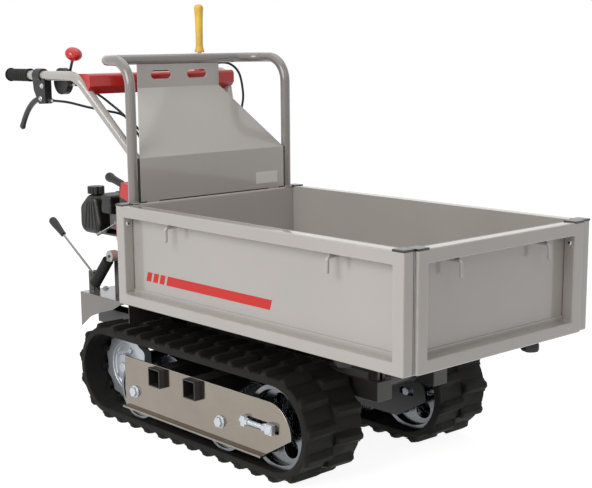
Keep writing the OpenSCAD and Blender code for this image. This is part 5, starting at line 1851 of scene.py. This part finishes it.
@dataclass
class Studio:
    """Pale floor, soft light and the camera at the photograph's angle.

    Attributes:
        lens: Focal length in millimetres.
        azimuth: Turn of the view about z, in degrees.
        elevation: Height of the view, in degrees.
        roll: Tilt of the picture, in degrees.
        stand: Place of the camera, as spot takes it.
        shift: Shift of the lens across and up.
        sky: Strength of the even light.
        aim: Point that the lamps look at, in metres.
        lamps: Name, place in metres, size and power of each lamp.
        floor_half: Half the floor's width in metres.
        floor_tone: Grey of the floor.
        glow: Strength of the floor's own white.
        glow_share: Share of that white in what is seen of the floor.
    """

    lens: float = 74.72
    azimuth: float = 48.65
    elevation: float = 10.90
    roll: float = -0.60
    stand: Triple = (2758.7, -2151.8, 1051.5)
    shift: tuple[float, float] = (0.020, 0.054)
    sky: float = 0.33
    aim: Triple = (0.1, 0.0, 0.45)
    lamps: tuple[tuple[str, Triple, float, float], ...] = (
        ("key", (0.6, -3.4, 2.3), 2.4, 82.0), ("top", (-0.3, 0.3, 3.6), 3.2, 22.0),
        ("front", (3.0, 0.3, 2.8), 2.0, 9.0))
    floor_half: float = 30.0
    floor_tone: float = 0.86
    glow: float = 1.52
    glow_share: float = 0.6

    def build(self) -> None:
        """Set up camera, light and floor."""
        bpy.context.scene.view_settings.view_transform = "Standard"
        self.camera()
        self.world()
        self.floor()
        for name, place, size, power in self.lamps:
            lamp = bpy.data.lights.new(name, "AREA")
            lamp.shape = "DISK"
            lamp.size = size
            lamp.energy = power
            light = bpy.data.objects.new(name, lamp)
            bpy.context.scene.collection.objects.link(light)
            light.location = place
            aim = Vector(self.aim) - Vector(place)
            light.rotation_euler = aim.to_track_quat("-Z", "Y").to_euler()

    def camera(self) -> None:
        """Place the camera."""
        a, e, r = (math.radians(v) for v in (self.azimuth, self.elevation, self.roll))
        back = Vector((math.sin(a) * math.cos(e), -math.cos(a) * math.cos(e), math.sin(e)))
        right = Vector((math.cos(a), math.sin(a), 0))
        up = back.cross(right)
        across = right * math.cos(r) + up * math.sin(r)
        upward = up * math.cos(r) - right * math.sin(r)
        lens = bpy.data.cameras.new("view")
        lens.lens = self.lens
        lens.sensor_fit = "HORIZONTAL"
        lens.shift_x, lens.shift_y = self.shift
        camera = bpy.data.objects.new("view", lens)
        bpy.context.scene.collection.objects.link(camera)
        turn = Matrix((across, upward, back)).transposed().to_4x4()
        camera.matrix_world = Matrix.Translation(spot(*self.stand)) @ turn
        bpy.context.scene.camera = camera

    @staticmethod
    def seen(graph: Graph) -> bpy.types.NodeSocket:
        """Mask of the rays that see the background: camera, glossy and transmission rays.

        Args:
            graph: Graph that takes the nodes.

        Returns:
            The mask.
        """
        path = graph.add("ShaderNodeLightPath").outputs
        feeds = {0: path["Is Camera Ray"], 1: path["Is Glossy Ray"]}
        some = graph.add("ShaderNodeMath", feeds, operation="MAXIMUM")
        feeds = {0: some, 1: path["Is Transmission Ray"]}
        return graph.add("ShaderNodeMath", feeds, operation="MAXIMUM").outputs[0]

    def world(self) -> None:
        """Light the scene evenly, with a white background behind it."""
        world = bpy.data.worlds.new("studio")
        world.use_nodes = True
        bpy.context.scene.world = world
        graph = Graph(world.node_tree)
        world.node_tree.nodes.clear()
        soft = graph.add("ShaderNodeBackground", {"Color": (1.0, 0.99, 0.97, 1.0), "Strength": self.sky})
        white = graph.add("ShaderNodeBackground", {"Color": WHITE, "Strength": 1.0})
        both = graph.add("ShaderNodeMixShader", {0: self.seen(graph), 1: soft, 2: white})
        graph.add("ShaderNodeOutputWorld", {"Surface": both})

    def floor(self) -> None:
        """Lay a pale floor that keeps the machine's shadow."""
        half = self.floor_half
        mesh = bpy.data.meshes.new("floor")
        corners = [(-half, -half, 0), (half, -half, 0), (half, half, 0), (-half, half, 0)]
        mesh.from_pydata(corners, [], [(0, 1, 2, 3)])
        floor = bpy.data.objects.new("floor", mesh)
        bpy.context.scene.collection.objects.link(floor)
        material = bpy.data.materials.new("pale_floor")
        material.use_nodes = True
        graph = Graph(material.node_tree)
        nodes = material.node_tree.nodes
        matt = nodes["Principled BSDF"]
        matt.inputs["Base Color"].default_value = (self.floor_tone, self.floor_tone, self.floor_tone, 1.0)
        matt.inputs["Roughness"].default_value = 0.9
        matt.inputs["Specular IOR Level"].default_value = 0.0
        glow = graph.add("ShaderNodeEmission", {"Color": WHITE, "Strength": self.glow})
        share = graph.times(self.seen(graph), self.glow_share)
        both = graph.add("ShaderNodeMixShader", {0: share, 1: matt, 2: glow})
        graph.feed(nodes["Material Output"].inputs["Surface"], both)
        mesh.materials.append(material)


def main() -> None:
    """Build the studio and every sub-assembly."""
    logging.basicConfig(level=logging.INFO, format="%(message)s")
    for part in (Studio(), Bed(), Tracks(), Chassis(), Engine(), Handlebar()):
        LOG.info("building the %s", type(part).__name__.lower())
        part.build()


if __name__ == "__main__":
    main()
